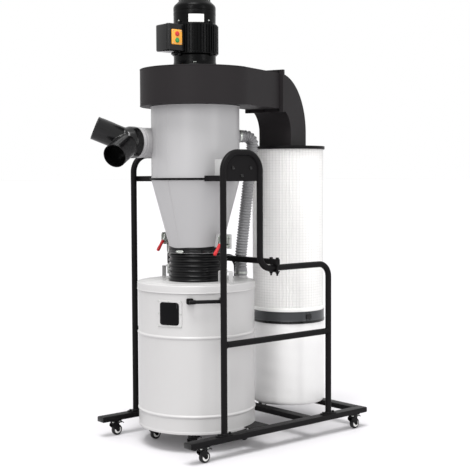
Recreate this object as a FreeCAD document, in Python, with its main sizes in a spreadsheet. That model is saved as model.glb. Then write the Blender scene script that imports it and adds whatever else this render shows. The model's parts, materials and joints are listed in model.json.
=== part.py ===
"""Mobile cyclone dust extractor: cyclone, fan, collection drum and filter on a castered tube frame.

Frame: millimetres, +Z up, origin on the floor under the middle of the whole machine.
+X runs along the long rails, from the open end where the drum rolls out to the filter end.
-Y is the near side, where the drum's sight window and the inlet's downward branch point.
"""
import FreeCAD, Part

import math
import os
import re

import Sketcher
from FreeCAD import Placement, Rotation, Vector

os.makedirs("parts", exist_ok=True)
doc = FreeCAD.newDocument("cyclone_dust_extractor")

# ---------------------------------------------------------------------------------------------
# Driving dimensions
# ---------------------------------------------------------------------------------------------
DRIVING = {
    # base frame of flat-laid rectangular tube
    "frame_mid_x": 57.8,
    "frame_length": 1077.0,
    "rail_width": 50.0,
    "rail_height": 25.0,
    "drum_side_gap": 37.0,
    "crossbar_offset": 186.0,
    # swivel casters
    "caster_height": 72.0,
    "caster_inset": 75.0,
    "caster_trail": 14.0,
    "wheel_radius": 25.0,
    "wheel_width": 18.0,
    "hub_radius": 8.0,
    "axle_radius": 4.0,
    "king_radius": 5.0,
    "pin_clearance": 0.05,
    "hub_side_gap": 1.0,
    "fork_side_gap": 3.0,
    "cheek_thickness": 2.5,
    "cheek_radius": 9.0,
    "crown_radius": 17.0,
    "crown_thickness": 4.0,
    "crown_wheel_gap": 6.5,
    "swivel_gap": 0.5,
    "race_radius": 19.0,
    "mount_plate_size": 50.0,
    "mount_plate_thickness": 3.0,
    "pedal_width": 18.0,
    "pedal_reach": 34.0,
    "pedal_thickness": 3.0,
    "cheek_front": 13.0,
    "axle_overhang": 1.0,
    "drum_caster_radius": 205.0,
    # bent tube loops and what is fixed to them
    "tube_radius": 14.0,
    "post_front_offset": -339.0,
    "post_mid_offset": -130.0,
    "post_rear_offset": 298.0,
    "loop_top_z": 1311.0,
    "loop_low_z": 803.0,
    "side_rail_z": 488.0,
    "top_bend_radius": 80.0,
    "low_bend_radius": 60.0,
    "foot_length": 92.0,
    "foot_width": 40.0,
    "foot_thickness": 4.0,
    "shelf_height": 25.0,
    "shelf_drop": 6.0,
    "gusset_thickness": 4.0,
    "stop_thickness": 4.0,
    "stop_gap": 3.0,
    "stop_front_offset": 60.0,
    "stop_rear_offset": 170.0,
    "stop_depth": 90.0,
    "cradle_width": 96.0,
    "cradle_height": 70.0,
    "cross_bar_offset": -45.0,
    "cross_bar_size": 25.0,
    "cross_bar_overhang": 24.0,
    "clamp_bolt_radius": 4.0,
    "clamp_bolt_offset": 20.0,
    "clamp_bolt_head": 6.0,
    "clamp_bolt_tail": 12.0,
    "clamp_strap_thickness": 4.0,
    "clamp_strap_overhang": 5.0,
    # collection drum
    "drum_offset": -227.0,
    "drum_radius": 265.0,
    "drum_wall": 2.0,
    "drum_bottom_z": 85.0,
    "drum_low_bead_z": 163.0,
    "drum_mid_bead_z": 508.0,
    "bead_radius": 5.0,
    "bead_sink": 1.0,
    "drum_handle_z": 671.0,
    "drum_handle_length": 157.0,
    "drum_handle_reach": 38.0,
    "drum_handle_radius": 8.0,
    "drum_handle_bearing": -119.0,
    "window_z": 614.0,
    "window_bearing": -155.0,
    "window_plate_width": 120.0,
    "window_plate_height": 116.0,
    "window_pane_width": 95.0,
    "window_pane_height": 100.0,
    "window_plate_thickness": 2.5,
    "window_pane_thickness": 2.0,
    # lid and the flexible sleeve above it
    "lid_top_z": 738.0,
    "lid_skirt": 36.0,
    "lid_wall": 3.0,
    "lid_side_gap": 1.5,
    "seat_gap": 0.3,
    "cut_overshoot": 1.0,
    "lid_spout_height": 17.0,
    "bellows_outer_radius": 126.0,
    "bellows_inner_radius": 116.0,
    "bellows_wall": 3.0,
    "bellows_cuff": 16.0,
    "cuff_proud": 8.0,
    "band_height": 14.0,
    "band_thickness": 2.0,
    # cyclone body
    "cone_low_radius": 120.0,
    "cone_spout_z": 866.0,
    "cone_start_z": 890.0,
    "ring_z": 1194.0,
    "ring_thickness": 9.0,
    "ring_reach": 8.0,
    "cyclone_radius": 200.0,
    "cyclone_wall": 2.0,
    "cyclone_top_z": 1524.0,
    # inlet
    "inlet_radius": 67.0,
    "inlet_wall": 2.0,
    "inlet_z": 1363.0,
    "stub_reach": 262.0,
    "collar_radius": 71.0,
    "collar_length": 45.0,
    "collar_overlap": 30.0,
    "crotch_length": 45.0,
    "crotch_radius": 50.0,
    "branch_radius": 53.0,
    "branch_step": 2.0,
    "branch_start": 12.0,
    "branch_wall": 3.0,
    "branch_length": 170.0,
    "branch_grip": 50.0,
    "branch_half_angle": 36.0,
    "branch_roll": 39.5,
    # fan housing and outlet duct
    "scroll_height": 164.0,
    "scroll_start_radius": 220.0,
    "scroll_growth": 15.0,
    "outlet_width": 170.0,
    "elbow_outer_radius": 268.0,
    "landing_offset": 53.0,
    "flange_reach": 16.0,
    "flange_thickness": 8.0,
    # motor and switch
    "motor_radius": 95.0,
    "motor_flange_radius": 112.0,
    "motor_flange_thickness": 12.0,
    "motor_body_height": 253.0,
    "stator_radius": 107.0,
    "stator_low_rise": 60.0,
    "stator_height": 122.0,
    "cowl_radius": 92.0,
    "cowl_height": 21.0,
    "cowl_dome": 32.0,
    "cowl_shoulder_inset": 10.0,
    "cowl_shoulder_drop": 13.0,
    "cowl_crown_inset": 38.0,
    "cowl_crown_drop": 3.0,
    "switch_box_width": 92.0,
    "switch_box_height": 118.0,
    "switch_box_reach": 76.0,
    "switch_box_rise": 74.0,
    "switch_plate_width": 55.0,
    "switch_plate_height": 66.0,
    "switch_plate_thickness": 5.0,
    "switch_plate_inset": 32.0,
    "button_radius": 8.0,
    "button_rise": 6.0,
    "button_offset": 14.0,
    # filter
    "filter_offset": 361.0,
    "filter_mid_y": 12.0,
    "filter_radius": 173.0,
    "filter_pleat_depth": 32.0,
    "filter_top_z": 1355.0,
    "filter_plate_thickness": 6.0,
    "filter_plate_reach": 8.0,
    "filter_low_z": 520.0,
    "filter_band_low_z": 512.0,
    "filter_band_height": 48.0,
    "filter_band_thickness": 6.0,
    "bag_bottom_z": 104.0,
    "bag_bulge": 8.0,
    "bag_floor_inset": 49.0,
    "bag_turn_inset": 12.0,
    "bag_turn_height": 25.0,
    "bag_belly_height": 82.0,
    "bag_neck_length": 33.0,
    # return hose between the cyclone and the lid
    "hose_radius": 29.0,
    "hose_wall": 2.5,
    "hose_bearing": -12.7,
    "hose_port_z": 1395.0,
    "hose_port_length": 26.0,
    "hose_port_radius": 26.0,
    "hose_bend_radius": 66.0,
    "hose_lower_bend_radius": 280.0,
    "hose_run_radius": 300.0,
    "hose_lid_radius": 232.0,
    "hose_lower_bend_z": 850.0,
    "hose_overlap": 14.0,
    # lid clamps
    "clamp_spread": 208.0,
    "clamp_plate_reach": 236.0,
    "clamp_plate_low_z": 893.0,
    "clamp_plate_height": 60.0,
    "clamp_plate_thickness": 4.0,
    "clamp_back_gap": 8.0,
    "pivot_forward": 18.0,
    "pivot_z": 932.0,
    "pivot_radius": 4.0,
    "ear_gap": 14.0,
    "ear_thickness": 4.0,
    "ear_height": 34.0,
    "guide_height": 8.0,
    "guide_reach": 8.0,
    "handle_hub_radius": 8.0,
    "handle_hub_side_gap": 1.0,
    "handle_arm_radius": 4.5,
    "grip_radius": 8.0,
    "grip_start": 26.0,
    "grip_length": 56.0,
    "handle_drop_angle": 56.0,
    "rod_radius": 4.0,
    "rod_guide_clearance": 0.3,
    "rod_top_z": 908.0,
    "rod_nut_radius": 8.0,
    "rod_nut_height": 6.0,
    "hook_length": 30.0,
    "hook_size": 5.0,
    "hook_root": 1.0,
    "lid_bracket_width": 76.0,
    "lid_bracket_depth": 22.0,
    "lid_bracket_height": 55.0,
    "lid_bracket_wall": 4.0,
}

# ---------------------------------------------------------------------------------------------
# Sizes and places that follow from the driving ones
# ---------------------------------------------------------------------------------------------
DERIVED = {
    "frame_width": "2 * (drum_radius + drum_side_gap + rail_width)",
    "rail_top_z": "caster_height + rail_height",
    "loop_side_y": "frame_width / 2 - rail_width / 2",
    "crossbar_length": "frame_width - 2 * rail_width",
    "rail_end_x": "frame_mid_x + frame_length / 2",
    "rail_start_x": "frame_mid_x - frame_length / 2",
    "post_foot_z": "rail_top_z + foot_thickness",
    "post_front_x": "frame_mid_x + post_front_offset",
    "post_mid_x": "frame_mid_x + post_mid_offset",
    "post_rear_x": "frame_mid_x + post_rear_offset",
    "cross_bar_x": "frame_mid_x + cross_bar_offset",
    "cross_bar_z": "loop_low_z + tube_radius",
    "drum_x": "frame_mid_x + drum_offset",
    "filter_x": "frame_mid_x + filter_offset",
    "crown_low_z": "2 * wheel_radius + crown_wheel_gap",
    "crown_top_z": "crown_low_z + crown_thickness",
    "cheek_inner_y": "wheel_width / 2 + fork_side_gap",
    "lid_under_z": "lid_top_z - lid_wall",
    "drum_rim_z": "lid_under_z - seat_gap",
    "lid_inner_radius": "drum_radius + lid_side_gap",
    "lid_outer_radius": "lid_inner_radius + lid_wall",
    "spout_outer_radius": "cone_low_radius",
    "cuff_inner_radius": "cone_low_radius + seat_gap",
    "bellows_top_z": "cone_spout_z + bellows_cuff",
    "ring_top_z": "ring_z + ring_thickness",
    "ring_outer_radius": "cyclone_radius + ring_reach",
    "inlet_y": "cyclone_radius - inlet_radius",
    "stub_end_x": "drum_x - stub_reach",
    "scroll_top_z": "cyclone_top_z + scroll_height",
    "scroll_outer": "scroll_start_radius + 3.5 * scroll_growth",
    "outlet_mid": "scroll_outer - outlet_width / 2",
    "filter_reach": "sqrt((filter_x - drum_x) ^ 2 + filter_mid_y ^ 2)",
    "outlet_bearing": "atan(filter_mid_y / (filter_x - drum_x)) + asin(outlet_mid / filter_reach)",
    "filter_ahead": "sqrt(filter_reach ^ 2 - outlet_mid ^ 2)",
    "elbow_inner_radius": "elbow_outer_radius - scroll_height",
    "elbow_mid_z": "scroll_top_z - elbow_outer_radius",
    "elbow_mid_ahead": "filter_ahead - landing_offset + scroll_height / 2 - elbow_outer_radius",
    "motor_top_z": "scroll_top_z + motor_flange_thickness + motor_body_height",
    "stator_low_z": "scroll_top_z + motor_flange_thickness + stator_low_rise",
    "stator_top_z": "stator_low_z + stator_height",
    "switch_box_z": "scroll_top_z + switch_box_rise",
    "filter_top_low_z": "filter_top_z - filter_plate_thickness",
    "band_inner_radius": "filter_radius + seat_gap",
    "bag_top_radius": "filter_radius + filter_band_thickness / 2",
    "clamp_face_x": "drum_x + clamp_back_gap",
    "pivot_x": "drum_x - pivot_forward",
    "lid_bracket_top_z": "lid_top_z + lid_bracket_height",
}

WORD = re.compile(r"\b[a-z]+(?:_[a-z]+)+\b")

sheet = doc.addObject("Spreadsheet::Sheet", "Sizes")
for row, (alias, value) in enumerate(DRIVING.items(), start=1):
    sheet.set(f"A{row}", alias)
    sheet.set(f"B{row}", str(value))
    sheet.setAlias(f"B{row}", alias)
for row, (alias, text) in enumerate(DERIVED.items(), start=len(DRIVING) + 2):
    sheet.set(f"A{row}", alias)
    sheet.set(f"B{row}", "=" + text)
    sheet.setAlias(f"B{row}", alias)
doc.recompute()

nodes = {}


def size(alias):
    """Value of one cell, in millimetres or degrees."""
    value = getattr(sheet, alias)
    return float(getattr(value, "Value", value))


def formula(text):
    """A formula over the sheet's aliases, as an expression any object can use."""
    return WORD.sub(lambda match: "Sizes." + match.group(0), str(text))


def bind(obj, **formulas):
    """Tie an object's properties to formulas."""
    for prop, text in formulas.items():
        obj.setExpression(prop, formula(text))
    return obj


def place(obj, x=0, y=0, z=0, turn=0, axis=(0, 0, 1)):
    """Tie an object's placement: a turn in degrees about an axis, then a move to (x, y, z)."""
    spot = f"create(<<vector>>; {formula(x)}; {formula(y)}; {formula(z)})"
    line = "create(<<vector>>; " + "; ".join(formula(part) for part in axis) + ")"
    spin = f"create(<<rotation>>; {line}; {formula(turn)})"
    obj.setExpression("Placement", f"create(<<placement>>; {spot}; {spin})")
    return obj


def box(name, low, dims):
    """Box from its low corner and its three sizes, all formulas."""
    obj = doc.addObject("Part::Box", name)
    bind(obj, Length=dims[0], Width=dims[1], Height=dims[2])
    return place(obj, *low)


def cylinder(name, spot, radius, height, turn=0, axis=(0, 0, 1)):
    """Cylinder that stands on spot; turn about axis lays it down."""
    obj = doc.addObject("Part::Cylinder", name)
    bind(obj, Radius=radius, Height=height)
    return place(obj, *spot, turn=turn, axis=axis)


def along_x(name, spot, radius, length):
    """Cylinder that runs from spot towards +X."""
    return cylinder(name, spot, radius, length, turn=90, axis=(0, 1, 0))


def along_y(name, spot, radius, length):
    """Cylinder that runs from spot towards +Y."""
    return cylinder(name, spot, radius, length, turn=-90, axis=(1, 0, 0))


def fuse(name, *shapes):
    obj = doc.addObject("Part::MultiFuse", name)
    obj.Shapes = list(shapes)
    return obj


def group(name, *shapes):
    """Solids that belong to one sub-part and don't touch."""
    obj = doc.addObject("Part::Compound", name)
    obj.Links = list(shapes)
    return obj


def cut(name, base, *tools):
    """Base with every tool taken away."""
    tool = tools[0] if len(tools) == 1 else fuse(name + "_tools", *tools)
    obj = doc.addObject("Part::Cut", name)
    obj.Base = base
    obj.Tool = tool
    return obj


def common(name, first, second):
    obj = doc.addObject("Part::MultiCommon", name)
    obj.Shapes = [first, second]
    return obj


def turned(name, profile):
    """Body of revolution about Z: profile is a closed list of (radius, height) formulas.

    A radius of 0 puts that corner on the axis.
    """
    body = doc.addObject("PartDesign::Body", name)
    plane = next(f for f in body.Origin.OriginFeatures if f.Role == "XZ_Plane")
    sketch = body.newObject("Sketcher::SketchObject", name + "_profile")
    sketch.AttachmentSupport = [(plane, "")]
    sketch.MapMode = "FlatFace"
    corners = []
    for radius, height in profile:
        corners.append(Vector(measure(radius), measure(height), 0))
    for index, corner in enumerate(corners):
        sketch.addGeometry(Part.LineSegment(corner, corners[(index + 1) % len(corners)]), False)
    for index in range(len(corners)):
        joined = (index + 1) % len(corners)
        sketch.addConstraint(Sketcher.Constraint("Coincident", index, 2, joined, 1))
    for index, (radius, height) in enumerate(profile):
        if radius == 0:
            sketch.addConstraint(Sketcher.Constraint("PointOnObject", index, 1, -2))
        else:
            spot = sketch.addConstraint(
                Sketcher.Constraint("DistanceX", -1, 1, index, 1, corners[index].x))
            sketch.setExpression(f"Constraints[{spot}]", formula(radius))
        spot = sketch.addConstraint(
            Sketcher.Constraint("DistanceY", -1, 1, index, 1, corners[index].y))
        sketch.setExpression(f"Constraints[{spot}]", formula(height))
    spin = body.newObject("PartDesign::Revolution", name + "_turn")
    spin.Profile = sketch
    spin.ReferenceAxis = (sketch, ["V_Axis"])
    spin.Angle = 360
    return body


def measure(text):
    """Number that a formula gives now."""
    value = sheet.evalExpression(formula(text)) if isinstance(text, str) else text
    return float(getattr(value, "Value", value))


def rounded_wire(points, radii, closed=False):
    """Wire of straight runs joined by tangent arcs, one radius for each inner corner."""
    count = len(points)
    corners = range(count) if closed else range(1, count - 1)
    starts = {}
    ends = {}
    arcs = {}
    for number, index in enumerate(corners):
        here = points[index]
        back = (points[index - 1] - here).normalize()
        ahead = (points[(index + 1) % count] - here).normalize()
        radius = radii[number]
        if radius == 0:
            starts[index] = here
            ends[index] = here
            continue
        half = back.getAngle(ahead) / 2
        reach = radius / math.tan(half)
        centre = here + (back + ahead).normalize() * (radius / math.sin(half))
        starts[index] = here + back * reach
        ends[index] = here + ahead * reach
        middle = centre + (here - centre).normalize() * radius
        arcs[index] = Part.Arc(starts[index], middle, ends[index]).toShape()
    edges = []
    for index in range(count if closed else count - 1):
        begin = ends.get(index, points[index])
        finish = starts.get((index + 1) % count, points[(index + 1) % count])
        if index in arcs:
            edges.append(arcs[index])
        if begin.distanceToPoint(finish) > 1e-6:
            edges.append(Part.LineSegment(begin, finish).toShape())
    return Part.Wire(Part.__sortEdges__(edges))


def path_length(points, radii):
    """Length of the centre line that rounded_wire makes."""
    return rounded_wire(points, radii).Length


def swept(name, points, radii, tube_radius):
    """Round bar along a rounded path; its first run sets the section's plane."""
    path = doc.addObject("Part::Feature", name + "_path")
    path.Shape = rounded_wire(points, radii)
    section = doc.addObject("Part::Circle", name + "_section")
    bind(section, Radius=tube_radius)
    heading = (points[1] - points[0]).normalize()
    section.Placement = Placement(points[0], Rotation(Vector(0, 0, 1), heading))
    sweep = doc.addObject("Part::Sweep", name)
    sweep.Sections = [section]
    sweep.Spine = (path, [f"Edge{n + 1}" for n in range(len(path.Shape.Edges))])
    sweep.Solid = True
    sweep.Frenet = False
    return sweep


def extruded(name, wire, depth):
    """Plate with the given outline, thickened along the outline's normal."""
    outline = doc.addObject("Part::Feature", name + "_outline")
    outline.Shape = Part.Face(wire)
    plate = doc.addObject("Part::Extrusion", name)
    plate.Base = outline
    plate.DirMode = "Normal"
    plate.Solid = True
    bind(plate, LengthFwd=depth)
    return plate


def node(name, obj):
    """Register an object as the sub-part that its file is named after."""
    obj.Label = name
    nodes[name] = obj
    return obj


SIDES = (("near", -1), ("far", 1))
BELLOWS_RIBS = 5


# ---------------------------------------------------------------------------------------------
# Base frame
# ---------------------------------------------------------------------------------------------
def make_base_frame():
    low = {"near": "-frame_width / 2", "far": "frame_width / 2 - rail_width"}
    for side, start in low.items():
        rail = box(f"rail_{side}_bar", ("rail_start_x", start, "caster_height"),
                   ("frame_length", "rail_width", "rail_height"))
        node(f"rail_{side}", rail)
    spots = ("frame_mid_x + crossbar_offset - rail_width / 2", "rail_end_x - rail_width")
    bars = []
    for number, spot in enumerate(spots):
        bars.append(box(f"crossbar_{number}", (spot, "-crossbar_length / 2", "caster_height"),
                        ("rail_width", "crossbar_length", "rail_height")))
    node("crossbars", group("crossbar_pair", *bars))


# ---------------------------------------------------------------------------------------------
# Casters: a plate and ball race on what they carry, a swivelling fork, a wheel on its axle
# ---------------------------------------------------------------------------------------------
DIAGONAL = "drum_caster_radius * sqrt(0.5)"
FRAME_X = {"front": "rail_start_x + caster_inset", "rear": "rail_end_x - caster_inset"}
CASTERS = {}
for side, sign in SIDES:
    for end, spot_x in FRAME_X.items():
        CASTERS[f"frame_{end}_{side}"] = (spot_x, f"{sign} * loop_side_y", "caster_height")
    for end, way in (("front", -1), ("rear", 1)):
        CASTERS[f"drum_{end}_{side}"] = (f"drum_x + {way} * {DIAGONAL}", f"{sign} * {DIAGONAL}",
                                         "drum_bottom_z")


def make_caster_mount(name, spot_x, spot_y, top_z):
    """Plate and ball race, bored for the fork's king pin."""
    half = "mount_plate_size / 2"
    under = f"({top_z} - mount_plate_thickness)"
    plate = box(f"{name}_plate", (f"{spot_x} - {half}", f"{spot_y} - {half}", under),
                ("mount_plate_size", "mount_plate_size", "mount_plate_thickness"))
    race = cylinder(f"{name}_race", (spot_x, spot_y, "crown_top_z + swivel_gap"), "race_radius",
                    f"{under} - crown_top_z - swivel_gap")
    bore = cylinder(f"{name}_bore", (spot_x, spot_y, "crown_top_z"),
                    "king_radius + pin_clearance", f"{top_z} - crown_top_z")
    return cut(f"{name}_mount", fuse(f"{name}_mount_body", plate, race), bore)


def make_fork(name, spot_x, spot_y, top_z):
    """Fork that trails towards +X, with its king pin, axle and brake pedal."""
    pieces = [
        cylinder(f"{name}_crown", (0, 0, "crown_low_z"), "crown_radius", "crown_thickness"),
        cylinder(f"{name}_king", (0, 0, "crown_low_z"), "king_radius",
                 f"{top_z} - swivel_gap - crown_low_z"),
        box(f"{name}_pedal", (0, "-pedal_width / 2", "crown_low_z"),
            ("caster_trail + pedal_reach", "pedal_width", "pedal_thickness")),
    ]
    cheek_low = "(wheel_radius + cheek_radius)"
    for label, start in (("left", "cheek_inner_y"), ("right", "-cheek_inner_y - cheek_thickness")):
        pieces.append(box(f"{name}_cheek_{label}", ("-cheek_front", start, cheek_low),
                          ("cheek_front + caster_trail + cheek_radius", "cheek_thickness",
                           f"crown_top_z - {cheek_low}")))
        pieces.append(box(f"{name}_leg_{label}",
                          ("caster_trail - cheek_radius", start, "wheel_radius"),
                          ("2 * cheek_radius", "cheek_thickness", "cheek_radius")))
        pieces.append(along_y(f"{name}_eye_{label}", ("caster_trail", start, "wheel_radius"),
                              "cheek_radius", "cheek_thickness"))
    pieces.append(along_y(f"{name}_axle",
                          ("caster_trail", "-cheek_inner_y - cheek_thickness - axle_overhang",
                           "wheel_radius"),
                          "axle_radius", "2 * (cheek_inner_y + cheek_thickness + axle_overhang)"))
    return place(fuse(f"{name}_fork_body", *pieces), spot_x, spot_y, 0)


def make_wheel(name, spot_x, spot_y):
    hub_half = "(cheek_inner_y - hub_side_gap)"
    tyre = along_y(f"{name}_tyre", (0, "-wheel_width / 2", 0), "wheel_radius", "wheel_width")
    hub = along_y(f"{name}_hub", (0, f"-{hub_half}", 0), "hub_radius", f"2 * {hub_half}")
    bore = along_y(f"{name}_hub_bore", (0, f"-{hub_half}", 0), "axle_radius + pin_clearance",
                   f"2 * {hub_half}")
    wheel = cut(f"{name}_wheel_body", fuse(f"{name}_wheel_solid", tyre, hub), bore)
    return place(wheel, f"{spot_x} + caster_trail", spot_y, "wheel_radius")


def make_casters():
    mounts = []
    for name, (spot_x, spot_y, top_z) in CASTERS.items():
        mounts.append(make_caster_mount(name, spot_x, spot_y, top_z))
        node(f"fork_{name}", make_fork(name, spot_x, spot_y, top_z))
        node(f"wheel_{name}", make_wheel(name, spot_x, spot_y))
    node("caster_mounts", group("caster_mount_set", *mounts))


# ---------------------------------------------------------------------------------------------
# Bent tube loops, their feet, and the brackets that hold the cyclone
# ---------------------------------------------------------------------------------------------
def make_loops():
    foot_z = size("post_foot_z")
    xs = {key: size(f"post_{key}_x") for key in ("front", "mid", "rear")}
    top_z = size("loop_top_z")
    low_z = size("loop_low_z")
    corners = [(xs["front"], foot_z), (xs["front"], top_z), (xs["mid"], top_z),
               (xs["mid"], low_z), (xs["rear"], low_z), (xs["rear"], foot_z)]
    radii = [size("top_bend_radius")] * 2 + [size("low_bend_radius")] * 2
    rails = []
    for side, sign in SIDES:
        points = [Vector(x, sign * size("loop_side_y"), z) for x, z in corners]
        node(f"loop_{side}", swept(f"loop_{side}_tube", points, radii, "tube_radius"))
        bar = along_x(f"side_rail_{side}_bar",
                      ("post_front_x", f"{sign} * loop_side_y", "side_rail_z"),
                      "tube_radius", "post_rear_x - post_front_x")
        posts = []
        for end in ("front", "rear"):
            posts.append(cylinder(f"side_rail_{side}_{end}_mouth",
                                  (f"post_{end}_x", f"{sign} * loop_side_y",
                                   "side_rail_z - 2 * tube_radius"),
                                  "tube_radius + pin_clearance", "4 * tube_radius"))
        rails.append(cut(f"side_rail_{side}", bar, *posts))
    node("side_rails", group("side_rail_pair", *rails))


def make_feet():
    """Oval flange under each post, bolted to the rail."""
    feet = []
    for side, sign in SIDES:
        for end in ("front", "rear"):
            name = f"foot_{end}_{side}"
            spot_y = f"{sign} * loop_side_y"
            straight = "(foot_length - foot_width)"
            middle = box(f"{name}_middle",
                         (f"post_{end}_x - {straight} / 2", f"{spot_y} - foot_width / 2",
                          "rail_top_z"), (straight, "foot_width", "foot_thickness"))
            ends = []
            for way in (-1, 1):
                ends.append(cylinder(f"{name}_end_{way + 1}",
                                     (f"post_{end}_x + {way} * {straight} / 2", spot_y,
                                      "rail_top_z"), "foot_width / 2", "foot_thickness"))
            feet.append(fuse(name, middle, *ends))
    node("post_feet", group("post_feet_set", *feet))


def make_drum_stops():
    """Level plate inside each rail, curved to the drum, that the drum rolls up against."""
    stops = []
    for side, sign in SIDES:
        edge = "frame_width / 2 - rail_width"
        start_y = f"-({edge})" if sign < 0 else f"{edge} - stop_depth"
        plate = box(f"stop_{side}_plate",
                    ("drum_x + stop_front_offset", start_y, "rail_top_z - stop_thickness"),
                    ("stop_rear_offset - stop_front_offset", "stop_depth", "stop_thickness"))
        room = cylinder(f"stop_{side}_room", ("drum_x", 0, "rail_top_z - stop_thickness"),
                        "drum_radius + stop_gap", "stop_thickness")
        stops.append(cut(f"drum_stop_{side}", plate, room))
    node("drum_stops", group("drum_stop_pair", *stops))


def make_cyclone_brackets():
    """Shelf from each loop to the cyclone's ring, with a gusset and a welded cradle near side."""
    shelf_z = "ring_z - shelf_drop"
    inner_start = "post_front_x + tube_radius"
    inner_length = "post_mid_x - post_front_x - 2 * tube_radius"
    reach = "loop_side_y - gusset_thickness / 2"
    shelves = []
    for side, sign in SIDES:
        start_y = f"-({reach})" if sign < 0 else "cyclone_radius / 2"
        bar = box(f"shelf_{side}_bar", (inner_start, start_y, shelf_z),
                  (inner_length, f"{reach} - cyclone_radius / 2", "shelf_height"))
        hole = cylinder(f"shelf_{side}_hole", ("drum_x", 0, shelf_z),
                        "ring_outer_radius + seat_gap", "shelf_height")
        shelves.append(cut(f"shelf_{side}", bar, hole))
    node("shelves", group("shelf_pair", *shelves))

    left = size("post_front_x") + size("tube_radius")
    right = size("post_mid_x") - size("tube_radius")
    floor = size("ring_z") - size("shelf_drop")
    roof = size("loop_top_z") - size("tube_radius")
    bend = size("top_bend_radius") - size("tube_radius")
    face_y = -size("loop_side_y") - size("gusset_thickness") / 2
    corners = [Vector(left, face_y, floor), Vector(left, face_y, roof),
               Vector(right, face_y, roof), Vector(right, face_y, floor)]
    wire = rounded_wire(corners, [0, bend, bend, 0], closed=True)
    node("gusset_near", extruded("gusset_near_plate", wire, "gusset_thickness"))

    block = box("cradle_block", ("drum_x - cradle_width / 2", f"-({reach})",
                                 f"{shelf_z} + shelf_height"),
                ("cradle_width", f"{reach} - cyclone_radius / 2", "cradle_height"))
    hollow = box("cradle_hollow", ("drum_x - cradle_width / 2 + lid_bracket_wall",
                                   f"-({reach}) + lid_bracket_wall",
                                   f"{shelf_z} + shelf_height"),
                 ("cradle_width - 2 * lid_bracket_wall", f"{reach} - cyclone_radius / 2",
                  "cradle_height - lid_bracket_wall"))
    body = cylinder("cradle_body", ("drum_x", 0, shelf_z), "cyclone_radius + seat_gap",
                    "2 * cradle_height + shelf_height")
    node("cradle_near", cut("cradle_near_cut", block, hollow, body))


def make_cross_bar():
    """Square bar on the loops' low runs, held by a strap and two bolts at each end."""
    side = "cross_bar_size"
    reach = "(loop_side_y + cross_bar_overhang)"
    bar = box("cross_bar_tube", (f"cross_bar_x - {side} / 2", f"-{reach}", "cross_bar_z"),
              (side, f"2 * {reach}", side))
    strap_z = "(loop_low_z - tube_radius - clamp_strap_thickness)"
    clamps = []
    bores = []
    for label, sign in SIDES:
        strap = box(f"strap_{label}",
                    (f"cross_bar_x - {side} / 2",
                     f"{sign} * loop_side_y - clamp_bolt_offset - clamp_strap_overhang", strap_z),
                    (side, "2 * (clamp_bolt_offset + clamp_strap_overhang)", "clamp_strap_thickness"))
        bolts = []
        for way in (-1, 1):
            spot_y = f"{sign} * loop_side_y + {way} * clamp_bolt_offset"
            bolts.append(cylinder(f"clamp_bolt_{label}_{way + 1}",
                                  ("cross_bar_x", spot_y, f"{strap_z} - clamp_bolt_tail"),
                                  "clamp_bolt_radius",
                                  f"cross_bar_z + {side} + clamp_bolt_head + clamp_bolt_tail"
                                  f" - {strap_z}"))
            bores.append(cylinder(f"clamp_bore_{label}_{way + 1}",
                                  ("cross_bar_x", spot_y, "cross_bar_z"),
                                  "clamp_bolt_radius + pin_clearance", side))
        clamps.append(fuse(f"bar_clamp_{label}", strap, *bolts))
    node("cross_bar", cut("cross_bar_bored", bar, *bores))
    node("cross_bar_clamps", group("cross_bar_clamp_pair", *clamps))


# ---------------------------------------------------------------------------------------------
# Collection drum
# ---------------------------------------------------------------------------------------------
def make_drum():
    inner = "drum_radius - drum_wall"
    shell = turned("drum_wall_and_floor", [
        (0, "drum_bottom_z"),
        ("drum_radius", "drum_bottom_z"),
        ("drum_radius", "drum_rim_z"),
        (inner, "drum_rim_z"),
        (inner, "drum_bottom_z + drum_wall"),
        (0, "drum_bottom_z + drum_wall"),
    ])
    beads = []
    for name in ("low", "mid"):
        bead = doc.addObject("Part::Torus", f"bead_{name}")
        bind(bead, Radius1="drum_radius - bead_sink", Radius2="bead_radius")
        beads.append(place(bead, 0, 0, f"drum_{name}_bead_z"))
    node("drum", place(fuse("drum_shell", shell, *beads), "drum_x"))


def make_drum_handles():
    """Two bent bar handles on opposite sides of the drum."""
    half = size("drum_handle_length") / 2 - size("drum_handle_radius")
    root = size("drum_radius") - size("drum_handle_reach")
    out = size("drum_radius") + size("drum_handle_reach")
    corners = [Vector(root, -half, 0), Vector(out, -half, 0), Vector(out, half, 0),
               Vector(root, half, 0)]
    bend = 2 * size("drum_handle_radius")
    handles = []
    for label, turn in (("first", "drum_handle_bearing"), ("second", "drum_handle_bearing + 180")):
        bar = swept(f"drum_handle_{label}_bar", corners, [bend, bend], "drum_handle_radius")
        wall = cylinder(f"drum_handle_{label}_wall", (0, 0, "-2 * drum_handle_radius"),
                        "drum_radius + seat_gap", "4 * drum_handle_radius")
        handles.append(place(cut(f"drum_handle_{label}", bar, wall), "drum_x", 0, "drum_handle_z",
                             turn=turn))
    node("drum_handles", group("drum_handle_pair", *handles))


def curved_plate(name, width, height, inner, outer):
    """Plate bent to the drum, centred on +X at the given radii."""
    low = (0, 0, f"-({height}) / 2")
    tube = cut(f"{name}_tube", cylinder(f"{name}_outer", low, outer, height),
               cylinder(f"{name}_inner", low, inner, height))
    slab = box(f"{name}_slab", (0, f"-({width}) / 2", f"-({height}) / 2"), (outer, width, height))
    return common(f"{name}_bent", tube, slab)


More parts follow.
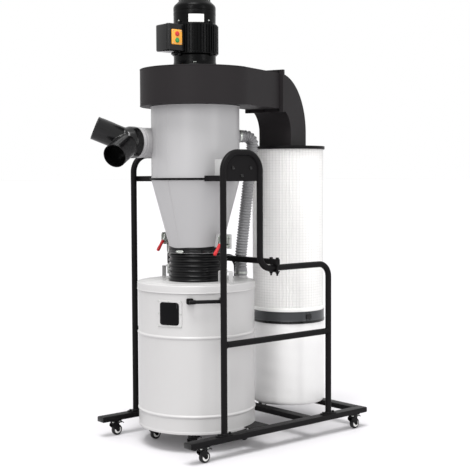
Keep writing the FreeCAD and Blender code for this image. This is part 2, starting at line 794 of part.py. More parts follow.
def make_window():
    seat = "drum_radius + seat_gap"
    frame_out = f"{seat} + window_plate_thickness"
    plate = curved_plate("window_plate", "window_plate_width", "window_plate_height",
                         seat, frame_out)
    pane = curved_plate("window_glass", "window_pane_width", "window_pane_height",
                        f"{frame_out} + seat_gap",
                        f"{frame_out} + seat_gap + window_pane_thickness")
    for name, piece in (("window_frame", plate), ("window_pane", pane)):
        node(name, place(piece, "drum_x", 0, "window_z", turn="window_bearing"))


# ---------------------------------------------------------------------------------------------
# Lid, its brackets and the bellows
# ---------------------------------------------------------------------------------------------
def make_lid():
    skirt_z = "lid_top_z - lid_skirt"
    spout_in = "spout_outer_radius - lid_wall"
    shell = turned("lid_shell", [
        (spout_in, "lid_under_z"),
        ("lid_inner_radius", "lid_under_z"),
        ("lid_inner_radius", skirt_z),
        ("lid_outer_radius", skirt_z),
        ("lid_outer_radius", "lid_top_z"),
        ("spout_outer_radius", "lid_top_z"),
        ("spout_outer_radius", "lid_top_z + lid_spout_height"),
        (spout_in, "lid_top_z + lid_spout_height"),
    ])
    spot_x = "hose_lid_radius * cos(hose_bearing)"
    spot_y = "hose_lid_radius * sin(hose_bearing)"
    port = cylinder("lid_port", (spot_x, spot_y, "lid_top_z"), "hose_port_radius", "hose_port_length")
    bore = cylinder("lid_port_bore", (spot_x, spot_y, "lid_under_z"), "hose_port_radius - lid_wall",
                    "hose_port_length + lid_wall")
    whole = cut("lid_with_port", fuse("lid_and_port", shell, port), bore)
    node("lid", place(whole, "drum_x"))


def make_lid_brackets():
    """Upturned strap over each rod's hook, bored for the rod."""
    width = "lid_bracket_width"
    depth = "lid_bracket_depth"
    brackets = []
    for side, sign in SIDES:
        spot_y = f"{sign} * clamp_spread"
        strap = box(f"strap_block_{side}", (f"drum_x - {depth} / 2", f"{spot_y} - {width} / 2",
                                            "lid_top_z"), (depth, width, "lid_bracket_height"))
        window = box(f"strap_window_{side}",
                     (f"drum_x - {depth} / 2", f"{spot_y} - {width} / 2 + lid_bracket_wall",
                      "lid_top_z"),
                     (depth, f"{width} - 2 * lid_bracket_wall",
                      "lid_bracket_height - lid_bracket_wall"))
        bore = cylinder(f"strap_bore_{side}", ("drum_x", spot_y, "lid_top_z"),
                        "rod_radius + pin_clearance", "lid_bracket_height")
        brackets.append(cut(f"lid_strap_{side}", strap, window, bore))
    node("lid_brackets", group("lid_strap_pair", *brackets))


def make_lift_rods():
    """Threaded rod through each lid strap, nut above, nut and two-pronged hook below."""
    roof = "lid_bracket_top_z"
    under = "(lid_bracket_top_z - lid_bracket_wall)"
    rods = []
    for side, sign in SIDES:
        spot_y = f"{sign} * clamp_spread"
        bar = cylinder(f"rod_bar_{side}", ("drum_x", spot_y, f"{under} - rod_nut_height"),
                       "rod_radius", f"rod_top_z - {under} + rod_nut_height")
        over = cylinder(f"rod_nut_over_{side}", ("drum_x", spot_y, roof), "rod_nut_radius",
                        "rod_nut_height")
        below = cylinder(f"rod_nut_under_{side}", ("drum_x", spot_y, f"{under} - rod_nut_height"),
                         "rod_nut_radius", "rod_nut_height")
        prongs = []
        for way in (-1, 1):
            prongs.append(box(f"rod_prong_{side}_{way + 1}",
                              ("drum_x - hook_size / 2",
                               f"{spot_y} + {way} * (rod_nut_radius - hook_size / 2)"
                               " - hook_size / 2", f"{under} - rod_nut_height - hook_length"),
                              ("hook_size", "hook_size", "hook_length + hook_root")))
        rods.append(fuse(f"lift_rod_{side}", bar, over, below, *prongs))
    node("lift_rods", group("lift_rod_pair", *rods))


def make_bellows():
    """Corrugated sleeve between the lid's spout and the cone's spout."""
    ribs = BELLOWS_RIBS
    low = "(lid_top_z + bellows_cuff)"
    high = "cone_spout_z"
    cuff_out = "bellows_inner_radius + cuff_proud"
    outside = [(cuff_out, "lid_top_z + seat_gap"), (cuff_out, low)]
    inside = [("cuff_inner_radius", "lid_top_z + seat_gap"), ("cuff_inner_radius", low)]
    for rib in range(ribs):
        for share, radius in ((0.5, "bellows_outer_radius"), (1.0, "bellows_inner_radius")):
            if rib == ribs - 1 and share == 1.0:
                continue
            spot = f"{low} + ({high} - {low}) * {(rib + share) / ribs}"
            outside.append((radius, spot))
            inside.append((f"{radius} - bellows_wall", spot))
    outside += [(cuff_out, high), (cuff_out, "bellows_top_z")]
    inside += [("cuff_inner_radius", high), ("cuff_inner_radius", "bellows_top_z")]
    sleeve = turned("bellows_sleeve", outside + inside[::-1])
    node("bellows", place(sleeve, "drum_x"))
    band_in = f"{cuff_out} + seat_gap"
    band_low = "bellows_top_z - band_height"
    band = turned("bellows_band_ring", [
        (band_in, band_low),
        (f"{band_in} + band_thickness", band_low),
        (f"{band_in} + band_thickness", "bellows_top_z"),
        (band_in, "bellows_top_z"),
    ])
    node("bellows_band", place(band, "drum_x"))


# ---------------------------------------------------------------------------------------------
# Cyclone cone, ring and cylinder with its tangential inlet
# ---------------------------------------------------------------------------------------------
def make_cyclone():
    wall = "cyclone_wall"
    cone = turned("cone_shell", [
        (f"cone_low_radius - {wall}", "cone_spout_z"),
        ("cone_low_radius", "cone_spout_z"),
        ("cone_low_radius", "cone_start_z"),
        ("cyclone_radius", "ring_z"),
        (f"cyclone_radius - {wall}", "ring_z"),
        (f"cone_low_radius - {wall}", "cone_start_z"),
    ])
    node("cone", place(cone, "drum_x"))
    ring = turned("joint_ring_body", [
        (f"cyclone_radius - {wall}", "ring_z"),
        ("ring_outer_radius", "ring_z"),
        ("ring_outer_radius", "ring_top_z"),
        (f"cyclone_radius - {wall}", "ring_top_z"),
    ])
    node("joint_ring", place(ring, "drum_x"))

    shell = turned("cylinder_shell", [
        (f"cyclone_radius - {wall}", "ring_top_z"),
        ("cyclone_radius", "ring_top_z"),
        ("cyclone_radius", "cyclone_top_z"),
        (f"cyclone_radius - {wall}", "cyclone_top_z"),
    ])
    bore = along_x("inlet_cut", ("-stub_reach", "inlet_y", "inlet_z"), "inlet_radius - inlet_wall",
                   "stub_reach")
    aside = ("-sin(hose_bearing)", "cos(hose_bearing)", 0)
    port = cylinder("hose_port", (0, 0, "hose_port_z"), "hose_port_radius",
                    "cyclone_radius + hose_port_length", turn=90,
                    axis=aside)
    port_bore = cylinder("hose_port_bore", (0, 0, "hose_port_z"), "hose_port_radius - lid_wall",
                         "cyclone_radius + hose_port_length", turn=90,
                         axis=aside)
    inside = cylinder("cylinder_inside", (0, 0, "ring_top_z"), f"cyclone_radius - {wall}",
                      "cyclone_top_z - ring_top_z")
    port_outside = cut("hose_port_outside", port, inside)
    whole = cut("cylinder_cut", fuse("cylinder_and_port", shell, port_outside), bore, port_bore)
    node("cylinder", place(whole, "drum_x"))

    pipe = along_x("stub_pipe", ("-stub_reach", "inlet_y", "inlet_z"), "inlet_radius", "stub_reach")
    pipe_bore = along_x("stub_bore", ("-stub_reach", "inlet_y", "inlet_z"),
                        "inlet_radius - inlet_wall", "stub_reach")
    around = cylinder("stub_trim", (0, 0, "ring_top_z"), "cyclone_radius + seat_gap",
                      "cyclone_top_z - ring_top_z")
    node("inlet_stub", place(cut("inlet_stub_cut", pipe, pipe_bore, around), "drum_x"))


def make_inlet_branches():
    """Two-way fitting: a collar over the stub that splits into two hose spigots."""
    collar_start = "-(collar_length - collar_overlap)"
    solid = [along_x("collar_tube", (collar_start, 0, 0), "collar_radius", "collar_length")]
    hollow = [along_x("collar_bore", (collar_start, 0, 0), "inlet_radius + seat_gap",
                      "collar_length")]
    crotch = doc.addObject("Part::Cone", "branch_crotch")
    bind(crotch, Radius1="collar_radius", Radius2="crotch_radius", Height="crotch_length")
    solid.append(place(crotch, collar_start, 0, 0, turn=-90, axis=(0, 1, 0)))
    for side, sign in SIDES:
        across = f"{sign} * sin(branch_half_angle)"
        aim = dict(turn=f"acos({across} * sin(branch_roll))",
                   axis=(f"-({across}) * cos(branch_roll)", "-cos(branch_half_angle)", 0))
        begin = (f"{collar_start} + branch_start", 0, 0)
        solid.append(cylinder(f"branch_{side}_tube", begin, "branch_radius - branch_step",
                              "branch_length - branch_grip / 2", **aim))
        reach = "(branch_length - branch_grip)"
        along = (f"-cos(branch_half_angle) * {reach}", f"({across}) * cos(branch_roll) * {reach}",
                 f"({across}) * sin(branch_roll) * {reach}")
        spot = (f"{begin[0]} + {along[0]}", along[1], along[2])
        solid.append(cylinder(f"branch_{side}_grip", spot, "branch_radius", "branch_grip", **aim))
        hollow.append(cylinder(f"branch_{side}_bore", begin, "branch_radius - branch_wall",
                               "branch_length + cut_overshoot", **aim))
    whole = cut("inlet_branches_cut", fuse("inlet_branches_body", *solid), *hollow)
    node("inlet_branches", place(whole, "stub_end_x", "inlet_y", "inlet_z"))


# ---------------------------------------------------------------------------------------------
# Fan housing and the duct to the filter, both turned so that the duct lands on the filter
# ---------------------------------------------------------------------------------------------
def make_fan_housing():
    """Four-centre volute with a straight outlet and a flange."""
    growth = size("scroll_growth")
    half = growth / 2
    start = size("scroll_start_radius")
    outer = -size("scroll_outer")
    inner = outer + size("outlet_width")
    face_x = size("elbow_mid_ahead")
    centres = [Vector(half, half, 0), Vector(-half, half, 0), Vector(-half, -half, 0),
               Vector(half, -half, 0)]
    tongue = math.atan2(inner - half, math.sqrt(start ** 2 - (inner - half) ** 2))
    bounds = [tongue, 0.0, math.pi / 2, math.pi, 1.5 * math.pi]
    edges = []
    for quarter, centre in enumerate(centres):
        radius = start + quarter * growth
        spots = []
        for share in (0.0, 0.5, 1.0):
            angle = bounds[quarter] + share * (bounds[quarter + 1] - bounds[quarter])
            spots.append(centre + Vector(math.cos(angle), math.sin(angle), 0) * radius)
        edges.append(Part.Arc(*spots).toShape())
        if quarter == 0:
            throat = spots[0]
        if quarter == len(centres) - 1:
            sweep_end = spots[2]
    outline = [sweep_end, Vector(face_x, outer, 0), Vector(face_x, inner, 0), throat]
    for begin, finish in zip(outline, outline[1:]):
        edges.append(Part.LineSegment(begin, finish).toShape())
    wire = Part.Wire(Part.__sortEdges__(edges))
    face = doc.addObject("Part::Feature", "scroll_outline")
    face.Shape = Part.Face(wire)
    block = doc.addObject("Part::Extrusion", "scroll_block")
    block.Base = face
    block.Dir = Vector(0, 0, 1)
    block.Solid = True
    bind(block, LengthFwd="scroll_height")
    flange = box("outlet_flange",
                 ("elbow_mid_ahead - flange_thickness", "-scroll_outer - flange_reach",
                  "-flange_reach"),
                 ("flange_thickness", "outlet_width + 2 * flange_reach",
                  "scroll_height + 2 * flange_reach"))
    node("fan_housing", place(fuse("fan_housing_body", block, flange), "drum_x", 0,
                              "cyclone_top_z", turn="outlet_bearing"))


def make_elbow():
    """Quarter bend from the outlet flange, and a straight drop to the filter's plate."""
    pieces = []
    for name, radius in (("outer", "elbow_outer_radius"), ("inner", "elbow_inner_radius")):
        quarter = doc.addObject("Part::Cylinder", f"elbow_{name}")
        bind(quarter, Radius=radius, Height="outlet_width")
        quarter.Angle = 90
        place(quarter, "elbow_mid_ahead", "-scroll_outer + outlet_width", "elbow_mid_z",
              turn=90, axis=(1, 0, 0))
        pieces.append(quarter)
    bend = cut("elbow_bend", *pieces)
    flange = box("elbow_flange",
                 ("elbow_mid_ahead", "-scroll_outer - flange_reach",
                  "cyclone_top_z - flange_reach"),
                 ("flange_thickness", "outlet_width + 2 * flange_reach",
                  "scroll_height + 2 * flange_reach"))
    drop = box("elbow_drop",
               ("elbow_mid_ahead + elbow_inner_radius", "-scroll_outer", "filter_top_z"),
               ("scroll_height", "outlet_width", "elbow_mid_z - filter_top_z"))
    whole = fuse("elbow_body", bend, drop, flange)
    node("duct_elbow", place(whole, "drum_x", turn="outlet_bearing"))


# ---------------------------------------------------------------------------------------------
# Motor with its switch box
# ---------------------------------------------------------------------------------------------
def make_motor():
    body = turned("motor_profile", [
        (0, "scroll_top_z"),
        ("motor_flange_radius", "scroll_top_z"),
        ("motor_flange_radius", "scroll_top_z + motor_flange_thickness"),
        ("motor_radius", "scroll_top_z + motor_flange_thickness"),
        ("motor_radius", "stator_low_z"),
        ("stator_radius", "stator_low_z"),
        ("stator_radius", "stator_top_z"),
        ("motor_radius", "stator_top_z"),
        ("motor_radius", "motor_top_z"),
        (0, "motor_top_z"),
    ])
    node("motor_body", place(body, "drum_x"))
    peak = "motor_top_z + cowl_height + cowl_dome"
    cowl = turned("cowl_profile", [
        (0, "motor_top_z"),
        ("cowl_radius", "motor_top_z"),
        ("cowl_radius", "motor_top_z + cowl_height"),
        ("cowl_radius - cowl_shoulder_inset", f"{peak} - cowl_shoulder_drop"),
        ("cowl_radius - cowl_crown_inset", f"{peak} - cowl_crown_drop"),
        (0, peak),
    ])
    node("motor_cowl", place(cowl, "drum_x"))

    out = "stator_radius + switch_box_reach"
    block = box("switch_block", (f"drum_x - ({out})", "-switch_box_width / 2", "switch_box_z"),
                (out, "switch_box_width", "switch_box_height"))
    trim = cylinder("switch_trim", ("drum_x", 0, "switch_box_z"), "stator_radius + seat_gap",
                    "switch_box_height")
    node("switch_box", cut("switch_box_cut", block, trim))

    mid_x = "(drum_x - stator_radius - switch_plate_inset)"
    face_y = "-switch_box_width / 2"
    mid_z = "(switch_box_z + switch_box_height / 2)"
    plate = box("switch_face",
                (f"{mid_x} - switch_plate_width / 2", f"{face_y} - switch_plate_thickness",
                 f"{mid_z} - switch_plate_height / 2"),
                ("switch_plate_width", "switch_plate_thickness", "switch_plate_height"))
    node("switch_plate", plate)
    buttons = []
    for name, way in (("stop", 1), ("start", -1)):
        buttons.append(along_y(f"button_{name}",
                               (mid_x, f"{face_y} - switch_plate_thickness - button_rise",
                                f"{mid_z} + {way} * button_offset"),
                               "button_radius", "button_rise"))
    node("switch_buttons", group("button_pair", *buttons))


# ---------------------------------------------------------------------------------------------
# Filter cartridge with its plate, clamp band and bag
# ---------------------------------------------------------------------------------------------
def make_filter():
    plate = cylinder("filter_plate_disc", ("filter_x", "filter_mid_y", "filter_top_low_z"),
                     "filter_radius + filter_plate_reach", "filter_plate_thickness")
    node("filter_plate", plate)
    core = "filter_radius - filter_pleat_depth"
    pleats = turned("filter_pleats", [
        (core, "filter_low_z"),
        ("filter_radius", "filter_low_z"),
        ("filter_radius", "filter_top_low_z"),
        (core, "filter_top_low_z"),
    ])
    node("filter_cartridge", place(pleats, "filter_x", "filter_mid_y"))
    band_top = "filter_band_low_z + filter_band_height"
    band = turned("filter_band_ring", [
        ("band_inner_radius", "filter_band_low_z"),
        ("filter_radius + filter_band_thickness", "filter_band_low_z"),
        ("filter_radius + filter_band_thickness", band_top),
        ("band_inner_radius", band_top),
    ])
    node("filter_band", place(band, "filter_x", "filter_mid_y"))
    bag = turned("bag_profile", [
        (0, "bag_bottom_z"),
        ("bag_top_radius - bag_floor_inset", "bag_bottom_z"),
        ("bag_top_radius - bag_turn_inset", "bag_bottom_z + bag_turn_height"),
        ("bag_top_radius + bag_bulge", "bag_bottom_z + bag_belly_height"),
        ("bag_top_radius + bag_bulge", "filter_band_low_z - bag_neck_length"),
        ("bag_top_radius", "filter_band_low_z"),
        (0, "filter_band_low_z"),
    ])
    node("filter_bag", place(bag, "filter_x", "filter_mid_y"))


# ---------------------------------------------------------------------------------------------
# Return hose, pushed over a port on the cyclone and a port on the lid
# ---------------------------------------------------------------------------------------------
def make_hose():
    port_z = size("hose_port_z")
    start = size("cyclone_radius") + size("hose_port_length") - size("hose_overlap")
    low = size("lid_top_z") + size("hose_port_length") - size("hose_overlap")
    corners = [Vector(start, 0, port_z), Vector(size("hose_run_radius"), 0, port_z),
               Vector(size("hose_lid_radius"), 0, size("hose_lower_bend_z")),
               Vector(size("hose_lid_radius"), 0, low)]
    radii = [size("hose_bend_radius"), size("hose_lower_bend_radius")]
    tube = swept("hose_tube", corners, radii, "hose_radius")
    bore = swept("hose_bore", corners, radii, "hose_radius - hose_wall")
    node("return_hose", place(cut("hose_cut", tube, bore), "drum_x", turn="hose_bearing"))
    print("return hose centre line, mm:", round(path_length(corners, radii), 1))


# ---------------------------------------------------------------------------------------------
# Lid clamps: plate on the cone, eared base with its pin, swinging handle
# ---------------------------------------------------------------------------------------------
def make_clamps():
    plates = []
    bases = []
    ear_half = "(ear_gap / 2)"
    front_x = "pivot_x - handle_hub_radius"
    for side, sign in SIDES:
        mid_y = f"{sign} * clamp_spread"
        start_y = "-clamp_plate_reach" if sign < 0 else "cone_low_radius / 2"
        slab = box(f"clamp_slab_{side}", ("clamp_face_x", start_y, "clamp_plate_low_z"),
                   ("clamp_plate_thickness", "clamp_plate_reach - cone_low_radius / 2",
                    "clamp_plate_height"))
        cone_body = turned(f"clamp_trim_{side}", [
            (0, "cone_start_z"),
            ("cone_low_radius", "cone_start_z"),
            ("cyclone_radius", "ring_z"),
            (0, "ring_z"),
        ])
        plates.append(cut(f"clamp_plate_{side}", slab, place(cone_body, "drum_x")))

        guide_z = "clamp_plate_low_z"
        pieces = [box(f"clamp_guide_{side}",
                      ("drum_x - guide_reach", f"{mid_y} - {ear_half} - ear_thickness", guide_z),
                      ("clamp_back_gap + guide_reach", f"2 * ({ear_half} + ear_thickness)",
                       "guide_height"))]
        for label, start in (("a", f"{mid_y} - {ear_half} - ear_thickness"),
                             ("b", f"{mid_y} + {ear_half}")):
            pieces.append(box(f"clamp_ear_{side}_{label}",
                              (front_x, start, "pivot_z - ear_height / 2"),
                              (f"clamp_face_x - ({front_x})", "ear_thickness", "ear_height")))
            pieces.append(box(f"clamp_web_{side}_{label}",
                              ("drum_x - guide_reach", start, guide_z),
                              ("clamp_back_gap + guide_reach", "ear_thickness",
                               "pivot_z - clamp_plate_low_z")))
        pieces.append(along_y(f"clamp_pin_{side}",
                              ("pivot_x", f"{mid_y} - {ear_half} - ear_thickness", "pivot_z"),
                              "pivot_radius", f"2 * ({ear_half} + ear_thickness)"))
        bore = cylinder(f"clamp_guide_bore_{side}", ("drum_x", mid_y, guide_z),
                        "rod_radius + rod_guide_clearance", "guide_height")
        bases.append(cut(f"clamp_base_{side}", fuse(f"clamp_base_solid_{side}", *pieces), bore))

        hub_half = "(ear_gap / 2 - handle_hub_side_gap)"
        hub = along_y(f"handle_hub_{side}", (0, f"-{hub_half}", 0), "handle_hub_radius",
                      f"2 * {hub_half}")
        arm = cylinder(f"handle_arm_{side}", (0, 0, 0), "handle_arm_radius",
                       "grip_start + grip_length / 2", turn="-(90 + handle_drop_angle)",
                       axis=(0, 1, 0))
        grip = cylinder(f"handle_grip_{side}",
                        ("-grip_start * cos(handle_drop_angle)", 0,
                         "-grip_start * sin(handle_drop_angle)"),
                        "grip_radius", "grip_length", turn="-(90 + handle_drop_angle)",
                        axis=(0, 1, 0))
        hole = along_y(f"handle_bore_{side}", (0, f"-{hub_half}", 0),
                       "pivot_radius + pin_clearance", f"2 * {hub_half}")
        handle = cut(f"handle_cut_{side}", fuse(f"handle_solid_{side}", hub, arm, grip), hole)
        node(f"clamp_handle_{side}", place(handle, "pivot_x", mid_y, "pivot_z"))
    node("clamp_plates", group("clamp_plate_pair", *plates))
    node("clamp_bases", group("clamp_base_pair", *bases))


def check_and_write():
    """Stop on any failed object, then write one STEP file for each sub-part."""
    doc.recompute()
    for obj in doc.Objects:
        if "Invalid" in obj.State or "Error" in obj.State:
            raise RuntimeError(f"{obj.Name} did not compute: {obj.State}")
    for name, obj in nodes.items():
        shape = obj.Shape
        if shape.isNull() or not shape.isValid() or not shape.Solids:
            raise RuntimeError(f"{name} has no valid solid")
        shape.exportStep(f"parts/{name}.step")
    print("sub-parts written:", len(nodes))


make_base_frame()
make_casters()
make_loops()
make_feet()
make_drum_stops()
make_cyclone_brackets()
make_cross_bar()
make_drum()
make_drum_handles()
make_window()
make_lid()
make_lid_brackets()
make_lift_rods()
make_bellows()
make_cyclone()
make_inlet_branches()
make_fan_housing()
make_elbow()
make_motor()
make_filter()
make_hose()
make_clamps()
check_and_write()
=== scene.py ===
"""Looks for the mobile cyclone dust extractor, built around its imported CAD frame. Metres, +Z up."""

import json
import math
import random

import bmesh
import bpy
from mathutils import Matrix, Quaternion, Vector


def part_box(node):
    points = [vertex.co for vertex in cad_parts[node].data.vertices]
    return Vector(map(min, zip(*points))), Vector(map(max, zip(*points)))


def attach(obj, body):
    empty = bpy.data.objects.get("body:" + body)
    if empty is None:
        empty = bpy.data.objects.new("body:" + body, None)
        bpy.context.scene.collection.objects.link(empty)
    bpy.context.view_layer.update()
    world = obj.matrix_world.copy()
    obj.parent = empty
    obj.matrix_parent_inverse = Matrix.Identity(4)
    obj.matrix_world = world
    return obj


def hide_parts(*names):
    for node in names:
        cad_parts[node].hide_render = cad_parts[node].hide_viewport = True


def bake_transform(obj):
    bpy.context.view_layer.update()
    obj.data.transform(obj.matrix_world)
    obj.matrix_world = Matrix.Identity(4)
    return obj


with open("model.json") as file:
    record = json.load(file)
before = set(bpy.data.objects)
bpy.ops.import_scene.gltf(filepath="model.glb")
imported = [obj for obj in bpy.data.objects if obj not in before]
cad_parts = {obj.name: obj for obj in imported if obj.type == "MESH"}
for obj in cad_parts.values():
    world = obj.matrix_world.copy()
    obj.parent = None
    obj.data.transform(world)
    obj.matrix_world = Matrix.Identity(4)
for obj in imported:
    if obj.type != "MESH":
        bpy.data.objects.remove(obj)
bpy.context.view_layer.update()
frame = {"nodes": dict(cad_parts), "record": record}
scene = bpy.context.scene

SIDES = (("near", -1), ("far", 1))
CASTERS = [f"{where}_{end}_{side}" for side in ("near", "far") for where in ("frame", "drum")
    for end in ("front", "rear")]


# ---- Measures read from the frame ----
def corners(node):
    low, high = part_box(node)
    return Vector(low), Vector(high)


def middle(node):
    low, high = corners(node)
    return (low + high) / 2


def half_width(node):
    """Half of a node's size across Y: the radius of what is turned about Z."""
    low, high = corners(node)
    return (high.y - low.y) / 2


def turned(node):
    """Corners and radius of a node that is turned about Z."""
    return (*corners(node), half_width(node))


DRUM_AXIS = Vector((middle("cone").x, middle("cone").y, 0))
FILTER_AXIS = Vector((middle("filter_cartridge").x, middle("filter_cartridge").y, 0))


# ---- Materials ----
def finish(name, color, rough, *, metal=0.0, mottle=0.06, grain=250.0, bump=0.08, specular=0.5,
        sheen=0.0):
    """Principled finish whose colour, gloss and surface vary with noise in object space."""
    mottle_scale = 6.0
    rough_spread = 0.08
    bump_depth = 0.001
    material = bpy.data.materials.new(name)
    material.use_nodes = True
    tree = material.node_tree
    shader = tree.nodes["Principled BSDF"]
    spot = tree.nodes.new("ShaderNodeTexCoord")

    def link(source, output, target, socket):
        tree.links.new(source.outputs[output], target.inputs[socket])

    def noise(scale, detail):
        node = tree.nodes.new("ShaderNodeTexNoise")
        node.inputs["Scale"].default_value = scale
        node.inputs["Detail"].default_value = detail
        link(spot, "Object", node, "Vector")
        return node

    shader.inputs["Metallic"].default_value = metal
    shader.inputs["Specular IOR Level"].default_value = specular
    shader.inputs["Sheen Weight"].default_value = sheen
    broad = noise(mottle_scale, 4)
    ramp = tree.nodes.new("ShaderNodeMix")
    ramp.data_type = "RGBA"
    ramp.inputs["A"].default_value = tuple(max(c * (1 - mottle), 0) for c in color) + (1,)
    ramp.inputs["B"].default_value = tuple(min(c * (1 + mottle), 1) for c in color) + (1,)
    link(broad, "Fac", ramp, "Factor")
    link(ramp, "Result", shader, "Base Color")
    spread = tree.nodes.new("ShaderNodeMapRange")
    spread.inputs["To Min"].default_value = max(rough - rough_spread, 0.02)
    spread.inputs["To Max"].default_value = min(rough + rough_spread, 1.0)
    link(broad, "Fac", spread, "Value")
    link(spread, "Result", shader, "Roughness")
    lift = tree.nodes.new("ShaderNodeBump")
    lift.inputs["Strength"].default_value = bump
    lift.inputs["Distance"].default_value = bump_depth
    link(noise(grain, 3), "Fac", lift, "Height")
    link(lift, "Normal", shader, "Normal")
    return material


M = {
    "frame_paint": finish("frame_powder_coat", (0.006, 0.0056, 0.006), 0.42, grain=900, bump=0.25,
        specular=0.07),
    "housing_paint": finish("housing_satin", (0.0165, 0.0148, 0.0156), 0.52, grain=700, bump=0.18,
        specular=0.08),
    "cyclone_paint": finish("cyclone_grey", (0.355, 0.352, 0.356), 0.36, grain=600, bump=0.10,
        mottle=0.02),
    "drum_paint": finish("drum_grey", (0.435, 0.43, 0.427), 0.38, grain=600, bump=0.12, mottle=0.02),
    "bracket_paint": finish("bracket_grey", (0.44, 0.44, 0.436), 0.42, grain=600, mottle=0.03),
    "zinc_steel": finish("zinc", (0.48, 0.50, 0.47), 0.32, metal=0.9, grain=300, mottle=0.12),
    "black_plastic": finish("moulded_black", (0.003, 0.003, 0.0032), 0.20, grain=400, bump=0.05,
        specular=0.32),
    "bellows_rubber": finish("bellows_black", (0.003, 0.003, 0.0033), 0.30, grain=500, bump=0.06,
        specular=0.2),
    "caster_black": finish("caster_black", (0.004, 0.004, 0.0043), 0.32, grain=500, specular=0.14),
    "caster_wheel": finish("wheel_black", (0.008, 0.008, 0.0085), 0.42, grain=500, specular=0.25),
    "motor_paint": finish("motor_black", (0.0012, 0.0013, 0.0014), 0.28, grain=420, bump=0.3,
        specular=0.09),
    "switch_yellow": finish("switch_amber", (0.80, 0.36, 0.04), 0.35, grain=300),
    "switch_caps": finish("button_red", (0.50, 0.02, 0.02), 0.30, grain=300),
    "grip_red": finish("grip_red", (0.46, 0.010, 0.014), 0.34, grain=500, specular=0.35),
    "pleated_media": finish("filter_fleece", (0.93, 0.925, 0.915), 0.85, grain=900, bump=0.5,
        mottle=0.03, sheen=0.2),
    "band_grey": finish("band_grey", (0.055, 0.057, 0.06), 0.32, metal=0.3, grain=400, specular=0.3),
    "bag_film": finish("bag_film", (0.76, 0.755, 0.75), 0.34, grain=200, bump=0.2, mottle=0.03),
    "hose_grey": finish("hose_grey", (0.225, 0.225, 0.23), 0.40, grain=400, bump=0.08),
    "window_black": finish("sight_window", (0.004, 0.004, 0.0045), 0.10, grain=60, bump=0.02,
        specular=0.06),
    "white_ring": finish("caster_hub_white", (0.70, 0.70, 0.68), 0.45, grain=400),
    "button_green": finish("button_green", (0.02, 0.25, 0.06), 0.30, grain=300),
    "mesh_wire": finish("mesh_wire", (0.72, 0.72, 0.71), 0.45, grain=300),
    "rim_white": finish("rim_white", (0.78, 0.78, 0.76), 0.45, grain=400, mottle=0.02),
    "rod_black": finish("rod_black", (0.03, 0.028, 0.028), 0.40, grain=300),
}

SLOT_OF = {row["node"]: row["material_slot"] for row in frame["record"]["subparts"]}
for node_name, slot_name in SLOT_OF.items():
    mesh = frame["nodes"][node_name].data
    mesh.materials.clear()
    mesh.materials.append(M[slot_name])


# ---- Camera, floor and lights ----
def make_camera():
    eye = Vector((-3.1406, -3.7283, 1.1999))
    yaw = math.radians(49.309)
    pitch = math.radians(-3.092)
    roll = math.radians(-0.252)
    lens_mm = 80.21
    sight = Vector((math.cos(yaw) * math.cos(pitch), math.sin(yaw) * math.cos(pitch), math.sin(pitch)))
    data = bpy.data.cameras.new("camera")
    data.lens = lens_mm
    data.sensor_width = 36.0
    camera = bpy.data.objects.new("camera", data)
    scene.collection.objects.link(camera)
    turn = sight.to_track_quat("-Z", "Y") @ Quaternion((0, 0, 1), roll)
    camera.matrix_world = Matrix.Translation(eye) @ turn.to_matrix().to_4x4()
    scene.camera = camera


def make_light(name, spot, aim, size, power):
    data = bpy.data.lights.new(name, "AREA")
    data.shape = "RECTANGLE"
    data.size = size[0]
    data.size_y = size[1]
    data.energy = power
    lamp = bpy.data.objects.new(name, data)
    scene.collection.objects.link(lamp)
    turn = (Vector(aim) - Vector(spot)).to_track_quat("-Z", "Y")
    lamp.matrix_world = Matrix.Translation(Vector(spot)) @ turn.to_matrix().to_4x4()


SUN_SPREAD = 28


def make_sun(name, way, power):
    """Soft overhead light that is the same all over the floor."""
    data = bpy.data.lights.new(name, "SUN")
    data.energy = power
    data.angle = math.radians(SUN_SPREAD)
    lamp = bpy.data.objects.new(name, data)
    scene.collection.objects.link(lamp)
    lamp.matrix_world = Vector(way).to_track_quat("-Z", "Y").to_matrix().to_4x4()


def make_studio():
    size = 400.0
    below_wheels = 0.0005
    glow = 0.02
    bm = bmesh.new()
    bmesh.ops.create_grid(bm, x_segments=2, y_segments=2, size=size)
    floor = to_object("floor", bm)
    floor.location.z = -below_wheels
    paint = finish("floor_white", (0.56, 0.55, 0.565), 0.65, mottle=0.003, bump=0.0, specular=0.2)
    shader = paint.node_tree.nodes["Principled BSDF"]
    shader.inputs["Emission Color"].default_value = (1, 1, 1, 1)
    shader.inputs["Emission Strength"].default_value = glow
    floor.data.materials.append(paint)
    world = bpy.data.worlds.new("studio")
    world.use_nodes = True
    world.node_tree.nodes["Background"].inputs["Color"].default_value = (1, 1, 1, 1)
    world.node_tree.nodes["Background"].inputs["Strength"].default_value = 1.0
    scene.world = world
    scene.view_settings.view_transform = "Standard"
    aim = (0.0, 0.0, 1.0)
    make_light("key", (-3.4, -1.9, 2.9), aim, (0.6, 2.2), 46)
    make_light("side", (0.6, -4.0, 2.0), aim, (0.5, 2.4), 22)
    make_sun("top", (0.30, 0.22, -1.0), 3.0)


# ---- Mesh tools ----
def to_object(name, bm):
    """Turn a bmesh into an object of the scene."""
    mesh = bpy.data.meshes.new(name)
    bm.to_mesh(mesh)
    bm.free()
    item = bpy.data.objects.new(name, mesh)
    scene.collection.objects.link(item)
    return item


def add_piece(name, bm, slot, body="frame", replaces=(), sharp=35, material=None):
    """Turn a bmesh into a piece that rides on a body; with a body of None it rides on no body."""
    bmesh.ops.recalc_face_normals(bm, faces=bm.faces)
    piece = to_object(name, bm)
    piece.data.shade_smooth()
    piece.data.set_sharp_from_angle(angle=math.radians(sharp))
    piece.data.materials.append(M[material or slot])
    if body:
        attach(piece, body)
    if replaces:
        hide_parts(*replaces)
    return piece


